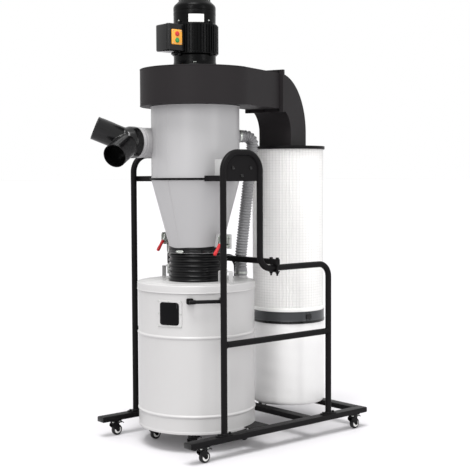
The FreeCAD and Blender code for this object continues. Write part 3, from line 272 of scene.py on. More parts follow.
def at(spot, z=(0, 0, 1), x=None):
    """Matrix that puts local Z along z, and local X as near x as it can be, at spot."""
    up = Vector(z).normalized()
    if x is None:
        x = (1, 0, 0) if abs(up.x) < 0.9 else (0, 1, 0)
    side = (Vector(x) - up * up.dot(Vector(x))).normalized()
    across = up.cross(side)
    turn = Matrix((side, across, up)).transposed()
    return Matrix.Translation(Vector(spot)) @ turn.to_4x4()


def around(axis, radius, angle, z):
    """Point at an angle in radians about a vertical axis."""
    return Vector((axis.x + radius * math.cos(angle), axis.y + radius * math.sin(angle), z))


def polar(axis, radius, bearing, z):
    """Point at a bearing in degrees about a vertical axis."""
    return around(axis, radius, math.radians(bearing), z)


def facing(bearing):
    """Level directions out from a vertical axis and across it, at a bearing in degrees."""
    radial = polar(Vector(), 1, bearing, 0)
    return radial, Vector((-radial.y, radial.x, 0))


def evenly(points, steps):
    """Length of a line through points, and (point, run from its start) at equal steps along it."""
    lengths = [0.0]
    for before, after in zip(points, points[1:]):
        lengths.append(lengths[-1] + (after - before).length)
    out = []
    segment = 0
    for step in range(steps + 1):
        run = lengths[-1] * step / steps
        while segment < len(lengths) - 2 and lengths[segment + 1] < run:
            segment += 1
        share = (run - lengths[segment]) / (lengths[segment + 1] - lengths[segment])
        out.append((points[segment].lerp(points[segment + 1], share), run))
    return lengths[-1], out


def quad(left, right, low, high):
    """Corners of a rectangle, counterclockwise from its low left."""
    return [(left, low), (right, low), (right, high), (left, high)]


def soften(outline, radius, steps=4, closed=False):
    """Outline with its corners rounded; a corner's third number is a radius of its own."""
    straight = math.radians(176)
    points = [Vector(corner[:2]) for corner in outline]
    out = []
    for index, here in enumerate(points):
        if not closed and index in (0, len(points) - 1):
            out.append(here)
            continue
        before = points[index - 1] - here
        after = points[(index + 1) % len(points)] - here
        own = outline[index][2] if len(outline[index]) > 2 else radius
        angle = before.angle(after)
        if own <= 0 or angle > straight:
            out.append(here)
            continue
        reach = min(own / math.tan(angle / 2), before.length * 0.49, after.length * 0.49)
        own = reach * math.tan(angle / 2)
        inward = (before.normalized() + after.normalized()).normalized()
        centre = here + inward * (own / math.sin(angle / 2))
        start = here + before.normalized() * reach - centre
        end = here + after.normalized() * reach - centre
        sweep = start.angle(end)
        for step in range(steps + 1):
            share = step / steps
            out.append(centre + start * (math.sin((1 - share) * sweep) / math.sin(sweep))
                       + end * (math.sin(share * sweep) / math.sin(sweep)))
    return out


def bridge(bm, lower, upper):
    """Faces between two rings of vertices; a ring of one vertex makes a fan."""
    count = max(len(lower), len(upper))
    for index in range(count):
        after = (index + 1) % count
        face = []
        for ring, spot in ((lower, index), (lower, after), (upper, after), (upper, index)):
            vertex = ring[spot % len(ring)]
            if vertex not in face:
                face.append(vertex)
        if len(face) > 2:
            bm.faces.new(face)


def skin_over(bm, rings, closed=False, capped=False):
    """Faces along a row of rings, then back to the first ring or over both ends."""
    for lower, upper in zip(rings, rings[1:]):
        bridge(bm, lower, upper)
    if closed:
        bridge(bm, rings[-1], rings[0])
    if capped:
        bm.faces.new(rings[0][::-1])
        bm.faces.new(rings[-1])


def ring_into(bm, sides, spot_at):
    """Ring of vertices, each where spot_at puts its angle."""
    return [bm.verts.new(spot_at(2 * math.pi * index / sides)) for index in range(sides)]


def turn_into(bm, profile, spot=None, sides=64, closed=False):
    """Revolve a (radius, height) outline about the local Z axis of a matrix."""
    spot = spot or Matrix()
    rings = []
    for radius, height in profile:
        if radius < 1e-6:
            rings.append([bm.verts.new(spot @ Vector((0, 0, height)))])
        else:
            rings.append(ring_into(bm, sides, lambda angle: spot @ Vector(
                (radius * math.cos(angle), radius * math.sin(angle), height))))
    skin_over(bm, rings, closed)


def lathe(bm, outline, edge, steps, spot, sides, closed=False):
    """Revolve an outline whose corners are rounded first."""
    turn_into(bm, soften(outline, edge, steps), spot, sides, closed)


def prism(bm, outline, layers, spot=None):
    """Stack an outline at (height, inset) layers, with flat ends."""
    spot = spot or Matrix()
    count = len(outline)
    normals = []
    for index in range(count):
        along = Vector(outline[(index + 1) % count]) - Vector(outline[index - 1])
        normals.append(Vector((along.y, -along.x)).normalized())
    rings = []
    for height, inset in layers:
        ring = []
        for here, normal in zip(outline, normals):
            moved = Vector(here) - normal * inset
            ring.append(bm.verts.new(spot @ Vector((moved.x, moved.y, height))))
        rings.append(ring)
    skin_over(bm, rings, capped=True)


def rectangle(width, height, corner, steps=4):
    """Rounded rectangle about the origin, counterclockwise."""
    x, y = width / 2, height / 2
    return soften(quad(-x, x, -y, y), corner, steps, closed=True)


def rounded_layers(length, edge):
    """Layers of a prism whose two ends have a rounded edge."""
    lift = [(edge * (1 - math.cos(a)), edge * (1 - math.sin(a)))
        for a in (0.0, math.pi / 6, math.pi / 3, math.pi / 2)]
    return lift + [(length - height, inset) for height, inset in reversed(lift)]


def bar_into(bm, low, high, axis, corner, edge=0.0015):
    """Rounded bar between two opposite corners, drawn along X, Y or Z."""
    low = Vector(low)
    high = Vector(high)
    size = high - low
    way = "XYZ".index(axis)
    start = (low + high) / 2
    start[way] = low[way]
    z = [(1, 0, 0), (0, 1, 0), (0, 0, 1)][way]
    x = [(0, 1, 0), (1, 0, 0), (1, 0, 0)][way]
    width = size.y if way == 0 else size.x
    depth = size.y if way == 2 else size.z
    prism(bm, rectangle(width, depth, corner), rounded_layers(size[way], edge), at(start, z, x))


def sweep_into(bm, points, radii, sides=12, ring_closed=False):
    """Round tube through points, with one radius for each point."""
    points = [Vector(point) for point in points]
    count = len(points)
    rings = []
    side = None
    for index, here in enumerate(points):
        ahead = points[(index + 1) % count] if ring_closed else points[min(index + 1, count - 1)]
        behind = points[index - 1] if ring_closed or index else here
        along = (ahead - behind).normalized()
        if side is None:
            side = along.orthogonal().normalized()
        side = (side - along * along.dot(side)).normalized()
        other = along.cross(side)
        rings.append(ring_into(bm, sides,
            lambda angle: here + (side * math.cos(angle) + other * math.sin(angle)) * radii[index]))
    skin_over(bm, rings, ring_closed, not ring_closed)


FOOT_BOLT = (0.014, 0.008, 0.0095)
STRAP_BOLT = (0.0155, 0.0075, 0.0095)
CASTER_BOLT = (0.0095, 0.005, 0.0058)
WHEEL_NUT = (0.0125, 0.0042, 0.0068)
FLANGE_BOLT = (0.011, 0.006, 0.0065)
CLAMP_BOLT = (0.0105, 0.005, 0.0065)
ROD_NUT = (0.0155, 0.008, 0.0095)
LOCK_NUT = (0.0155, 0.007, 0.0095)


def hex_into(bm, spot, axis, width, height, washer):
    """Hexagon head with a chamfered crown on a washer; width is across its corners."""
    place = at(spot, axis)
    seat = 0.0012
    lathe(bm, quad(0, washer, 0, seat), 0.0004, 2, place, 20)
    r = width / 2
    turn_into(bm, [(0, seat), (r, seat), (r, height - 0.001), (r * 0.82, height), (0, height)], place,
        6)


def dome_into(bm, spot, axis, radius=0.004, height=0.003):
    """Domed screw head with a small dimple."""
    lathe(bm, [(0, height * 0.75), (radius * 0.35, height * 0.75), (radius * 0.4, height),
        (radius, height * 0.45), (radius, 0), (0, 0)], radius * 0.15, 2, at(spot, axis), 16)


# ---- Base frame and tube loops ----
def make_base():
    wall_round = 0.004
    bm = bmesh.new()
    for side, _ in SIDES:
        low, high = corners(f"rail_{side}")
        bar_into(bm, low, high, "X", wall_round)
    rail_low, rail_high = corners("rail_near")
    width = rail_high.y - rail_low.y
    low, high = corners("crossbars")
    for start in (low.x, high.x - width):
        bar_into(bm, (start, low.y, low.z), (start + width, high.y, high.z), "Y", wall_round, 0)
    add_piece("base_rails", bm, "frame_paint", replaces=("rail_near", "rail_far", "crossbars"))

    cap = 0.0025
    inset = 0.0012
    bm = bmesh.new()
    for side, _ in SIDES:
        low, high = corners(f"rail_{side}")
        for x in (low.x, high.x):
            bar_into(bm, (x - cap, low.y + inset, low.z + inset),
                (x + cap, high.y - inset, high.z - inset), "X", wall_round, 0.001)
    add_piece("rail_end_caps", bm, "black_plastic")


def post_spots():
    """Feet of the tube loops: x, y and the radius of the tube."""
    spots = []
    for side, _ in SIDES:
        low, high = corners(f"loop_{side}")
        radius = (high.y - low.y) / 2
        for x in (low.x + radius, high.x - radius):
            spots.append((x, (low.y + high.y) / 2, radius))
    return spots


def make_feet():
    low, high = corners("post_feet")
    xs = [spot[0] for spot in post_spots()]
    length = high.x - max(xs)
    rim = 0.001
    plate = 2 * length
    breadth = 2 * (high.y - max(spot[1] for spot in post_spots()))
    bolt_reach = 0.031
    bm = bmesh.new()
    bolts = bmesh.new()
    for x, y, radius in post_spots():
        outline = rectangle(plate, breadth, breadth / 2 - 0.0005, 10)
        prism(bm, outline, rounded_layers(high.z - low.z, rim), at((x, y, low.z)))
        lathe(bm, [(radius - 0.001, 0), (radius + 0.005, 0), (radius + 0.0012, 0.006),
            (radius - 0.001, 0.006)], 0.0015, 3, at((x, y, high.z)), 32)
        for way in (-1, 1):
            hex_into(bolts, (x + way * bolt_reach, y, high.z), (0, 0, 1), *FOOT_BOLT)
    add_piece("post_feet_plates", bm, "frame_paint", replaces=("post_feet",))
    add_piece("foot_bolts", bolts, "black_plastic")


def make_side_rail_welds():
    """Fillet welds where the side rails meet the posts."""
    low, high = corners("side_rails")
    z = (low.z + high.z) / 2
    bm = bmesh.new()
    for x, y, radius in post_spots():
        way = 1 if x < middle("side_rails").x else -1
        lathe(bm, [(radius - 0.001, 0), (radius + 0.003, 0.0005), (radius + 0.001, 0.004),
            (radius - 0.001, 0.004)], 0.001, 3, at((x + way * (radius - 0.001), y, z), (way, 0, 0)), 32)
    add_piece("side_rail_welds", bm, "frame_paint")


def make_gusset_bolts():
    low, high = corners("gusset_near")
    bm = bmesh.new()
    width = high.x - low.x
    top = 0.052
    drop = 0.033
    for share, fall in ((0.22, top), (0.78, top), (0.5, top + drop)):
        for y, way in ((low.y, -1), (high.y, 1)):
            dome_into(bm, (low.x + share * width, y, high.z - fall), (0, way, 0), 0.0085, 0.006)
    add_piece("gusset_bolts", bm, "black_plastic")


def make_cross_bar():
    low, high = corners("cross_bar")
    bm = bmesh.new()
    bar_into(bm, low, high, "Y", 0.003)
    cap = 0.0015
    for y in (low.y, high.y):
        bar_into(bm, (low.x + cap, y - cap, low.z + cap), (high.x - cap, y + cap, high.z - cap), "Y",
            0.002, 0.0007)
    add_piece("cross_bar_tube", bm, "frame_paint", replaces=("cross_bar",))
    bolt_reach = 0.020
    strap = 0.004
    strap_half = 0.025
    stud = 0.0042
    stud_end = 0.0175
    mid_x = (low.x + high.x) / 2
    under = low.z - 2 * half_width("loop_near")
    bm = bmesh.new()
    for _, sign in SIDES:
        y = sign * middle("loop_far").y
        bar_into(bm, (low.x, y - strap_half, under - strap), (high.x, y + strap_half, under), "X",
            0.001)
        for way in (-1, 1):
            spot_y = y + way * bolt_reach
            foot = (mid_x, spot_y, under - strap)
            hex_into(bm, (mid_x, spot_y, high.z), (0, 0, 1), *STRAP_BOLT)
            hex_into(bm, foot, (0, 0, -1), *STRAP_BOLT)
            lathe(bm, [(0, 0), (stud, 0), (stud, 0.001 - stud_end), (0, -stud_end)], 0.0006, 2,
                at(foot), 16)
            turn_into(bm, [(stud, 0), (stud, under - low.z)], at((mid_x, spot_y, low.z)), 16)
    add_piece("cross_bar_bolts", bm, "frame_paint", replaces=("cross_bar_clamps",))


# ---- Casters ----
CASTER_TRAIL = 0.014


def make_caster(name):
    fork_high = corners(f"fork_{name}")[1]
    wheel_low, wheel_high = corners(f"wheel_{name}")
    hub = middle(f"wheel_{name}")
    radius = (wheel_high.z - wheel_low.z) / 2
    half = 0.009
    hub_half = (wheel_high.y - wheel_low.y) / 2
    trail = CASTER_TRAIL
    king = Vector((hub.x - trail, hub.y, 0))
    crown_z = 0.0605

    bm = bmesh.new()
    lathe(bm, [(0.0085, half - 0.003), (0.0125, half - 0.003), (0.014, half), (radius, half),
        (radius, -half), (0.014, -half), (0.0125, -half + 0.003), (0.0085, -half + 0.003)], 0.003, 4,
        at(hub, (0, 1, 0)), 48)
    lathe(bm, quad(0.0045, 0.0085, hub_half, -hub_half), 0.001, 3, at(hub, (0, 1, 0)), 32)
    add_piece(f"tyre_{name}", bm, "caster_wheel", f"roller_{name}", (f"wheel_{name}",))
    bm = bmesh.new()
    for way in (-1, 1):
        lathe(bm, [(0.0088, 0.0), (0.0088, 0.0042), (0.0165, 0.0024), (0.0172, 0.0)], 0.0008, 3,
            at(hub + Vector((0, way * (half - 0.0008), 0)), (0, way, 0)), 40)
    add_piece(f"hub_ring_{name}", bm, "caster_wheel", f"roller_{name}", material="white_ring")

    bm = bmesh.new()
    lathe(bm, [(0, crown_z), (0.015, crown_z), (0.0182, crown_z - 0.002), (0.0182, crown_z - 0.006),
        (0.016, crown_z - 0.0065), (0, crown_z - 0.0065)], 0.0012, 3, at(king), 40)
    inner = half + 0.003
    sheet = 0.0025
    cheek = [(-0.0165, crown_z - 0.0035), (-0.0185, crown_z - 0.016, 0.006),
        (trail - 0.0095, radius - 0.002, 0.009), (trail, radius - 0.0105, 0.01),
        (trail + 0.0095, radius + 0.002, 0.009), (0.0205, crown_z - 0.014, 0.006),
        (0.0185, crown_z - 0.0035)]
    outline = soften(cheek, 0.002, 5, closed=True)
    for way in (1, -1):
        prism(bm, [(x, -way * z) for x, z in (outline if way < 0 else outline[::-1])],
            rounded_layers(sheet, 0.0006), at((king.x, king.y + way * inner, 0), (0, way, 0),
            (1, 0, 0)))
        hex_into(bm, (hub.x, king.y + way * (inner + sheet), hub.z), (0, way, 0), *WHEEL_NUT)
    arch = [(-0.0165, crown_z - 0.0065), (-0.0165, crown_z - 0.0035), (0.0185, crown_z - 0.0035),
        (0.0185, crown_z - 0.0065)]
    prism(bm, arch, [(-inner - sheet, 0), (inner + sheet, 0)], at(king, (0, -1, 0), (1, 0, 0)))
    add_piece(f"fork_shell_{name}", bm, "caster_black", f"caster_{name}", (f"fork_{name}",))

    bm = bmesh.new()
    reach = fork_high.x - king.x
    lever = [(0.016, crown_z - 0.0045), (0.026, crown_z - 0.001), (reach - 0.008, crown_z - 0.0005),
        (reach + 0.001, crown_z - 0.0055), (reach, crown_z - 0.0085), (reach - 0.009, crown_z - 0.0038),
        (0.0265, crown_z - 0.0045), (0.018, crown_z - 0.009)]
    outline = soften(lever, 0.0012, 3, closed=True)
    pedal_half = 0.0088
    prism(bm, outline, [(-pedal_half, 0.0005), (-pedal_half + 0.0006, 0), (pedal_half - 0.0006, 0),
        (pedal_half, 0.0005)], at(king, (0, -1, 0), (1, 0, 0)))
    for step in range(4):
        x = king.x + reach - 0.007 - 0.0035 * step
        bar_into(bm, (x - 0.0007, king.y - pedal_half + 0.002, crown_z - 0.0015),
            (x + 0.0007, king.y + pedal_half - 0.002, crown_z + 0.0006), "Y", 0.0005, 0.0004)
    add_piece(f"brake_pedal_{name}", bm, "caster_black", f"caster_{name}")


def make_caster_bolts():
    """Four bolts through each caster's plate, under the rails and the drum."""
    plate_reach = 0.019
    plate = 0.003
    bm = bmesh.new()
    for name in CASTERS:
        hub = middle(f"wheel_{name}")
        x = hub.x - CASTER_TRAIL
        under = (corners("rail_near")[0].z if name.startswith("frame") else corners("drum")[0].z)
        for sx in (-1, 1):
            for sy in (-1, 1):
                hex_into(bm, (x + sx * plate_reach, hub.y + sy * plate_reach, under - plate),
                    (0, 0, -1), *CASTER_BOLT)
    add_piece("caster_plate_bolts", bm, "zinc_steel")


# ---- Drum, its handles and window ----
BEAD = 0.004
BEAD_HEIGHTS = (0.163, 0.508)
DRUM_RADIUS = half_width("drum") - BEAD


def make_drum():
    low, high = corners("drum")
    radius = DRUM_RADIUS
    wall = 0.0015
    rim = radius + 0.0012
    dish = low.z + 0.006
    outline = [(0, dish), (radius - 0.030, dish), (radius - 0.026, low.z), (rim, low.z, 0.002),
        (rim, low.z + 0.010), (radius, low.z + 0.012)]
    for z in BEAD_HEIGHTS:
        outline += [(radius, z - 0.008), (radius + BEAD, z - 0.002, 0.004),
            (radius + BEAD, z + 0.002, 0.004), (radius, z + 0.008)]
    outline += [(radius, high.z - 0.004), (rim, high.z - 0.0025), (rim, high.z),
        (radius - wall, high.z), (radius - wall, dish + 0.002), (0, dish + 0.002)]
    bm = bmesh.new()
    lathe(bm, outline, 0.0015, 4, at(DRUM_AXIS), 128)
    seam_bearing = 60
    seam = polar(DRUM_AXIS, radius, seam_bearing, 0)
    bar_into(bm, seam + Vector((-0.003, -0.003, low.z + 0.02)),
        seam + Vector((0.0015, 0.0015, high.z - 0.01)), "Z", 0.001)
    add_piece("drum_shell", bm, "drum_paint", replaces=("drum",))


def make_drum_handles():
    low, high = corners("drum_handles")
    z = (low.z + high.z) / 2
    bar = (high.z - low.z) / 2
    out = DRUM_RADIUS + 0.038 - bar
    grip_length = 0.157
    reach = grip_length / 2 - 0.006
    bm = bmesh.new()
    for bearing in (-119, 61):
        radial, along = facing(bearing)
        start = math.sqrt(DRUM_RADIUS ** 2 - reach ** 2) - 0.004
        path = soften(quad(start, out, -reach, reach), 0.014, 8)
        points = [DRUM_AXIS + radial * p.x + along * p.y + Vector((0, 0, z)) for p in path]
        sweep_into(bm, points, [bar] * len(points), 20)
        for way in (-1, 1):
            foot = DRUM_AXIS + radial * (start + 0.002) + along * (way * reach)
            foot.z = z
            prism(bm, rectangle(0.030, 0.026, 0.006), rounded_layers(0.017, 0.002),
                at(foot, radial, along))
            knuckle = DRUM_AXIS + radial * out + along * (way * (reach - 0.006))
            knuckle.z = z
            lathe(bm, quad(0, bar + 0.0016, -0.014, 0.014), 0.002, 3, at(knuckle, along), 24)
    add_piece("drum_handle_bars", bm, "frame_paint", replaces=("drum_handles",))


def curved_plate(bm, bearing, z, width, height, corner, inner, outer, edge=0.001):
    """Rounded plate wrapped round the drum axis, with a small chamfer outside."""
    spans = 36
    columns = []
    for step in range(spans + 1):
        u = width * (0.5 - 0.5 * math.cos(math.pi * step / spans)) - width / 2
        over = max(abs(u) - (width / 2 - corner), 0)
        half = height / 2 - corner + math.sqrt(max(corner ** 2 - over ** 2, 0))
        inset = max(width / 2 - abs(u), 0)
        lift = outer - max(edge - inset, 0)
        column = []
        for radius, v in ((inner, -half), (lift - edge, -half), (lift, -half + edge),
                (lift, half - edge), (lift - edge, half), (inner, half)):
            spot = polar(DRUM_AXIS, radius, bearing + math.degrees(u / outer), z + v)
            column.append(bm.verts.new(spot))
        columns.append(column)
    skin_over(bm, columns, capped=True)


def make_window():
    bearing = -155
    z = middle("window_frame").z
    width = 0.120
    height = 0.116
    bm = bmesh.new()
    curved_plate(bm, bearing, z, width, height, 0.010, DRUM_RADIUS - 0.002, DRUM_RADIUS + 0.003)
    add_piece("window_plate", bm, "drum_paint", replaces=("window_frame",))
    bm = bmesh.new()
    curved_plate(bm, bearing, z, 0.095, 0.100, 0.014, DRUM_RADIUS, DRUM_RADIUS + 0.0055, 0.0022)
    add_piece("window_glass", bm, "window_black", replaces=("window_pane",), sharp=60)
    bm = bmesh.new()
    for u in (-1, 0, 1):
        for v in (-1, 0, 1):
            if u == 0 and v == 0:
                continue
            turn = bearing + math.degrees(u * (width / 2 - 0.006) / DRUM_RADIUS)
            spot = polar(DRUM_AXIS, DRUM_RADIUS + 0.0028, turn, z + v * (height / 2 - 0.004))
            dome_into(bm, spot, facing(turn)[0], 0.0036, 0.0022)
    add_piece("window_screws", bm, "zinc_steel")


# ---- Lid, lift straps, bellows and hose ----
HOSE_BEARING = -12.7
HOSE_REACH = 0.232
LID_TOP = 0.738
CLAMP_SPREAD = 0.208
LIFT_ROD_X = -0.1692


def make_lid():
    low = corners("lid")[0]
    radius = half_width("lid")
    spout = 0.120
    spout_top = 0.755
    skirt = radius - 0.0012
    step = LID_TOP + 0.0025
    under = LID_TOP - 0.003
    bore = spout - 0.002
    outline = [(radius - 0.003, low.z), (radius, low.z, 0.001), (radius, low.z + 0.003, 0.001),
        (skirt, low.z + 0.005), (skirt, LID_TOP - 0.001, 0.005), (radius - 0.030, LID_TOP),
        (radius - 0.036, step, 0.003), (spout + 0.030, step), (spout + 0.024, LID_TOP, 0.003),
        (spout, LID_TOP, 0.002), (spout, spout_top), (bore, spout_top), (bore, under),
        (radius - 0.0035, under)]
    bm = bmesh.new()
    lathe(bm, outline, 0.001, 4, at(DRUM_AXIS), 128, closed=True)
    port = polar(DRUM_AXIS, HOSE_REACH, HOSE_BEARING, LID_TOP)
    tube = 0.026
    collar = [(tube, -0.002), (tube + 0.007, 0.0005), (tube + 0.001, 0.007), (tube, 0.024),
        (tube - 0.002, 0.024), (tube - 0.002, -0.002)]
    lathe(bm, collar, 0.002, 3, at(port), 40, closed=True)
    add_piece("lid_pressing", bm, "drum_paint", "lid", ("lid",))


def make_lid_straps():
    """Inverted U straps the lift rods pass through, with their screws."""
    low, high = corners("lid_brackets")
    strap_length = 0.076
    half = strap_length / 2
    sheet = 0.004
    bm = bmesh.new()
    nuts = bmesh.new()
    mid_x = (low.x + high.x) / 2
    width = high.x - low.x
    for _, sign in SIDES:
        mid_y = sign * CLAMP_SPREAD
        path = [(-half, low.z), (-half, high.z), (half, high.z), (half, low.z), (half - sheet, low.z),
            (half - sheet, high.z - sheet, 0.003), (-half + sheet, high.z - sheet, 0.003),
            (-half + sheet, low.z)]
        outline = soften([path[0], path[1] + (0.007,), path[2] + (0.007,)] + path[3:], 0.0006, 4,
            closed=True)
        prism(bm, outline[::-1], [(-width / 2, 0.0004), (-width / 2 + 0.0005, 0),
            (width / 2 - 0.0005, 0), (width / 2, 0.0004)], at((mid_x, mid_y, 0), (1, 0, 0), (0, 1, 0)))
        for way in (-1, 1):
            bar_into(bm, (low.x, mid_y + way * half - 0.0055, low.z),
                (high.x, mid_y + way * half + 0.0055, low.z + 0.0025), "X", 0.001)
        rod = (LIFT_ROD_X, mid_y)
        hex_into(nuts, (*rod, high.z), (0, 0, 1), *ROD_NUT)
        hex_into(nuts, (*rod, high.z - sheet), (0, 0, -1), *LOCK_NUT)
        lathe(nuts, [(0, -0.022), (0.0035, -0.020), (0.004, 0), (0, 0)], 0.001, 2,
            at((*rod, high.z - sheet)), 16)
    add_piece("lid_strap_bends", bm, "bracket_paint", "lid", ("lid_brackets",))
    add_piece("lift_rod_nuts", nuts, "zinc_steel", "lid")


def make_bellows():
    low, high = corners("bellows")
    ribs = 5
    rib_low = low.z + 0.014
    rib_high = high.z - 0.016
    mean = 0.1215
    swing = 0.0042
    wall = 0.004
    sides = 96
    steps = 60
    wave = random.Random(11)
    phases = [wave.uniform(0, 2 * math.pi) for _ in range(4)]
    levels = [(low.z, 0.1245), (low.z + 0.003, 0.1262), (low.z + 0.010, 0.1262)]
    for step in range(steps + 1):
        share = step / steps
        lift = math.cos(2 * math.pi * ribs * share)
        lift = math.copysign(abs(lift) ** 0.7, lift)
        levels.append((rib_low + (rib_high - rib_low) * share, mean - swing * lift))
    levels += [(high.z - 0.012, 0.1215), (high.z - 0.002, 0.1225), (high.z, 0.1205)]

    def sagging(angle, radius, z):
        sag = 0.0009 * math.sin(3 * angle + phases[0]) + 0.0007 * math.sin(5 * angle + phases[1])
        return around(DRUM_AXIS, radius, angle, z + (sag if rib_low < z < rib_high else 0))

    bm = bmesh.new()
    rings = [ring_into(bm, sides, lambda angle: sagging(angle, radius, z)) for z, radius in levels]
    skin_over(bm, rings)
    inner = []
    for ring in (rings[0], rings[-1]):
        out = [Vector((v.co.x - DRUM_AXIS.x, v.co.y, 0)).normalized() for v in ring]
        inner.append([bm.verts.new(v.co - way * wall) for v, way in zip(ring, out)])
        bridge(bm, ring, inner[-1])
    bridge(bm, *inner)
    piece = add_piece("bellows_ribs", bm, "bellows_rubber", None, ("bellows",), 70)
    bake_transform(piece)


def make_bellows_band():
    low, high, radius = turned("bellows_band")
    bm = bmesh.new()
    outline = [(radius - 0.003, low.z), (radius + 0.0004, low.z), (radius - 0.0006, low.z + 0.004),
        (radius - 0.0006, high.z - 0.004), (radius + 0.0004, high.z), (radius - 0.003, high.z)]
    lathe(bm, outline, 0.001, 3, at(DRUM_AXIS), 128, closed=True)
    add_piece("bellows_strap", bm, "black_plastic", replaces=("bellows_band",))
    bm = bmesh.new()
    bearing = -161
    radial, along = facing(bearing)
    spot = polar(DRUM_AXIS, radius - 0.001, bearing, middle("bellows_band").z)
    prism(bm, rectangle(0.026, 0.013, 0.003), rounded_layers(0.010, 0.002), at(spot, radial, along))
    lathe(bm, [(0, -0.021), (0.0045, -0.021), (0.0045, -0.013), (0.003, -0.013), (0.003, 0.017),
        (0, 0.017)], 0.0008, 2, at(spot + radial * 0.006, along), 20)
    add_piece("band_screw", bm, "zinc_steel")


def make_hose():
    """Ribbed hose on the same two straights and bends as the frame's tube."""
    port_z = 1.395
    start = 0.200 + 0.026 - 0.014
    end_z = corners("return_hose")[0].z
    path = soften([(start, port_z), (0.300, port_z, 0.066), (HOSE_REACH, 0.850, 0.280),
        (HOSE_REACH, end_z)], 0.066, 24)
    radial = facing(HOSE_BEARING)[0]
    ribs = 56
    steps = ribs * 7
    cuff = 0.028
    radius = 0.029
    depth = 0.0052
    total, spots = evenly([DRUM_AXIS + radial * p.x + Vector((0, 0, p.y)) for p in path], steps)
    radii = []
    for step, (_, run) in enumerate(spots):
        ribbed = cuff < run < total - cuff
        wave = 0.5 - 0.5 * math.cos(2 * math.pi * ribs * step / steps)
        radii.append(radius - depth * (1 - wave) if ribbed else radius - 0.0004)
    bm = bmesh.new()
    sweep_into(bm, [spot for spot, _ in spots], radii, 28)
    piece = add_piece("hose_ribs", bm, "hose_grey", None, ("return_hose",), 75)
    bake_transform(piece)
    inset = 0.012
    half = 0.005
    band = radius + 0.0014
    for name, reach, z, way, body in (("low", HOSE_REACH, end_z + inset, Vector((0, 0, 1)), "lid"),
            ("high", start + inset, port_z, radial, "frame")):
        bm = bmesh.new()
        lathe(bm, quad(radius, band, -half, half), 0.0005, 2,
            at(DRUM_AXIS + radial * reach + Vector((0, 0, z)), way), 40, True)
        add_piece(f"hose_clip_{name}", bm, "zinc_steel", body)


# ---- Cyclone ----
SEAM_BEARING = -166


def make_cone():
    low, high, radius = turned("cone")
    throat = 0.120
    straight = 0.890
    wall = 0.0015
    outline = [(throat, low.z), (throat, straight, 0.010), (radius - 0.0005, high.z - 0.004, 0.002),
        (radius, high.z), (radius - wall - 0.0005, high.z), (throat - wall, straight + 0.0006, 0.010),
        (throat - wall, low.z)]
    bm = bmesh.new()
    lathe(bm, outline, 0.0005, 4, at(DRUM_AXIS), 128, closed=True)
    points = [polar(DRUM_AXIS, throat + (radius - throat) * share - 0.0012, SEAM_BEARING,
        straight + (high.z - 0.006 - straight) * share) for share in (step / 8 for step in range(9))]
    sweep_into(bm, points, [0.0022] * len(points), 8)
    add_piece("cone_shell", bm, "cyclone_paint", replaces=("cone",))


def make_cylinder_trim():
    """Rolled lips, the lap seam and the flange ring with its gasket."""
    low = corners("cylinder")[0]
    radius = half_width("cylinder")
    bm = bmesh.new()
    top = 1.5235
    for z in (low.z + 0.0025, top):
        lathe(bm, [(radius - 0.001, z - 0.0035), (radius + 0.0016, z - 0.0022),
            (radius + 0.0016, z + 0.0004), (radius - 0.001, z + 0.0004)], 0.001, 3, at(DRUM_AXIS), 128,
            closed=True)
    for bearing in (172, SEAM_BEARING):
        spot = polar(DRUM_AXIS, radius - 0.001, bearing, low.z + 0.005)
        peak = Vector((spot.x, spot.y, top - 0.004))
        sweep_into(bm, [spot, peak], [0.002, 0.002], 8)
    add_piece("cylinder_lips", bm, "cyclone_paint")

    low, high, radius = turned("joint_ring")
    mid = (low.z + high.z) / 2
    outline = [(radius - 0.012, low.z), (radius, low.z), (radius, mid - 0.001, 0.0006),
        (radius - 0.0015, mid - 0.0006), (radius - 0.0015, mid + 0.0006), (radius, mid + 0.001, 0.0006),
        (radius, high.z), (radius - 0.012, high.z)]
    bm = bmesh.new()
    lathe(bm, outline, 0.0008, 3, at(DRUM_AXIS), 128, closed=True)
    add_piece("ring_flanges", bm, "frame_paint", replaces=("joint_ring",))
    low, high = corners("inlet_stub")
    bm = bmesh.new()
    pipe = (high.z - low.z) / 2
    pipe_axis = Vector((0, 0.133, middle("inlet_stub").z))
    for x, thick in ((low.x + 0.034, 0.005), (low.x + 0.049, 0.0028)):
        lathe(bm, [(pipe - 0.001, 0), (pipe + thick / 2, 0.001), (pipe + thick / 2, 0.005),
            (pipe - 0.001, 0.006)], 0.0015, 3, at(pipe_axis + Vector((x, 0, 0)), (1, 0, 0)), 64,
            closed=True)
    add_piece("stub_beads", bm, "cyclone_paint")


# ---- Two-way inlet fitting ----
def evaluated(item, *helpers):
    """Mesh of an object after its modifiers; the object and its helpers are removed."""
    bpy.context.view_layer.update()
    graph = bpy.context.evaluated_depsgraph_get()
    out = bmesh.new()
    out.from_mesh(item.evaluated_get(graph).to_mesh())
    for used in (item, *helpers):
        mesh = used.data
        bpy.data.objects.remove(used)
        bpy.data.meshes.remove(mesh)
    return out


def fused(bm, voxel, rounds):
    """Join overlapping closed shells into one skin and let its creases run smooth."""
    draft = to_object("draft", bm)
    remesh = draft.modifiers.new("skin", "REMESH")
    remesh.mode = "VOXEL"
    remesh.voxel_size = voxel
    relax = draft.modifiers.new("relax", "SMOOTH")
    relax.factor = 0.5
    relax.iterations = rounds
    return evaluated(draft)


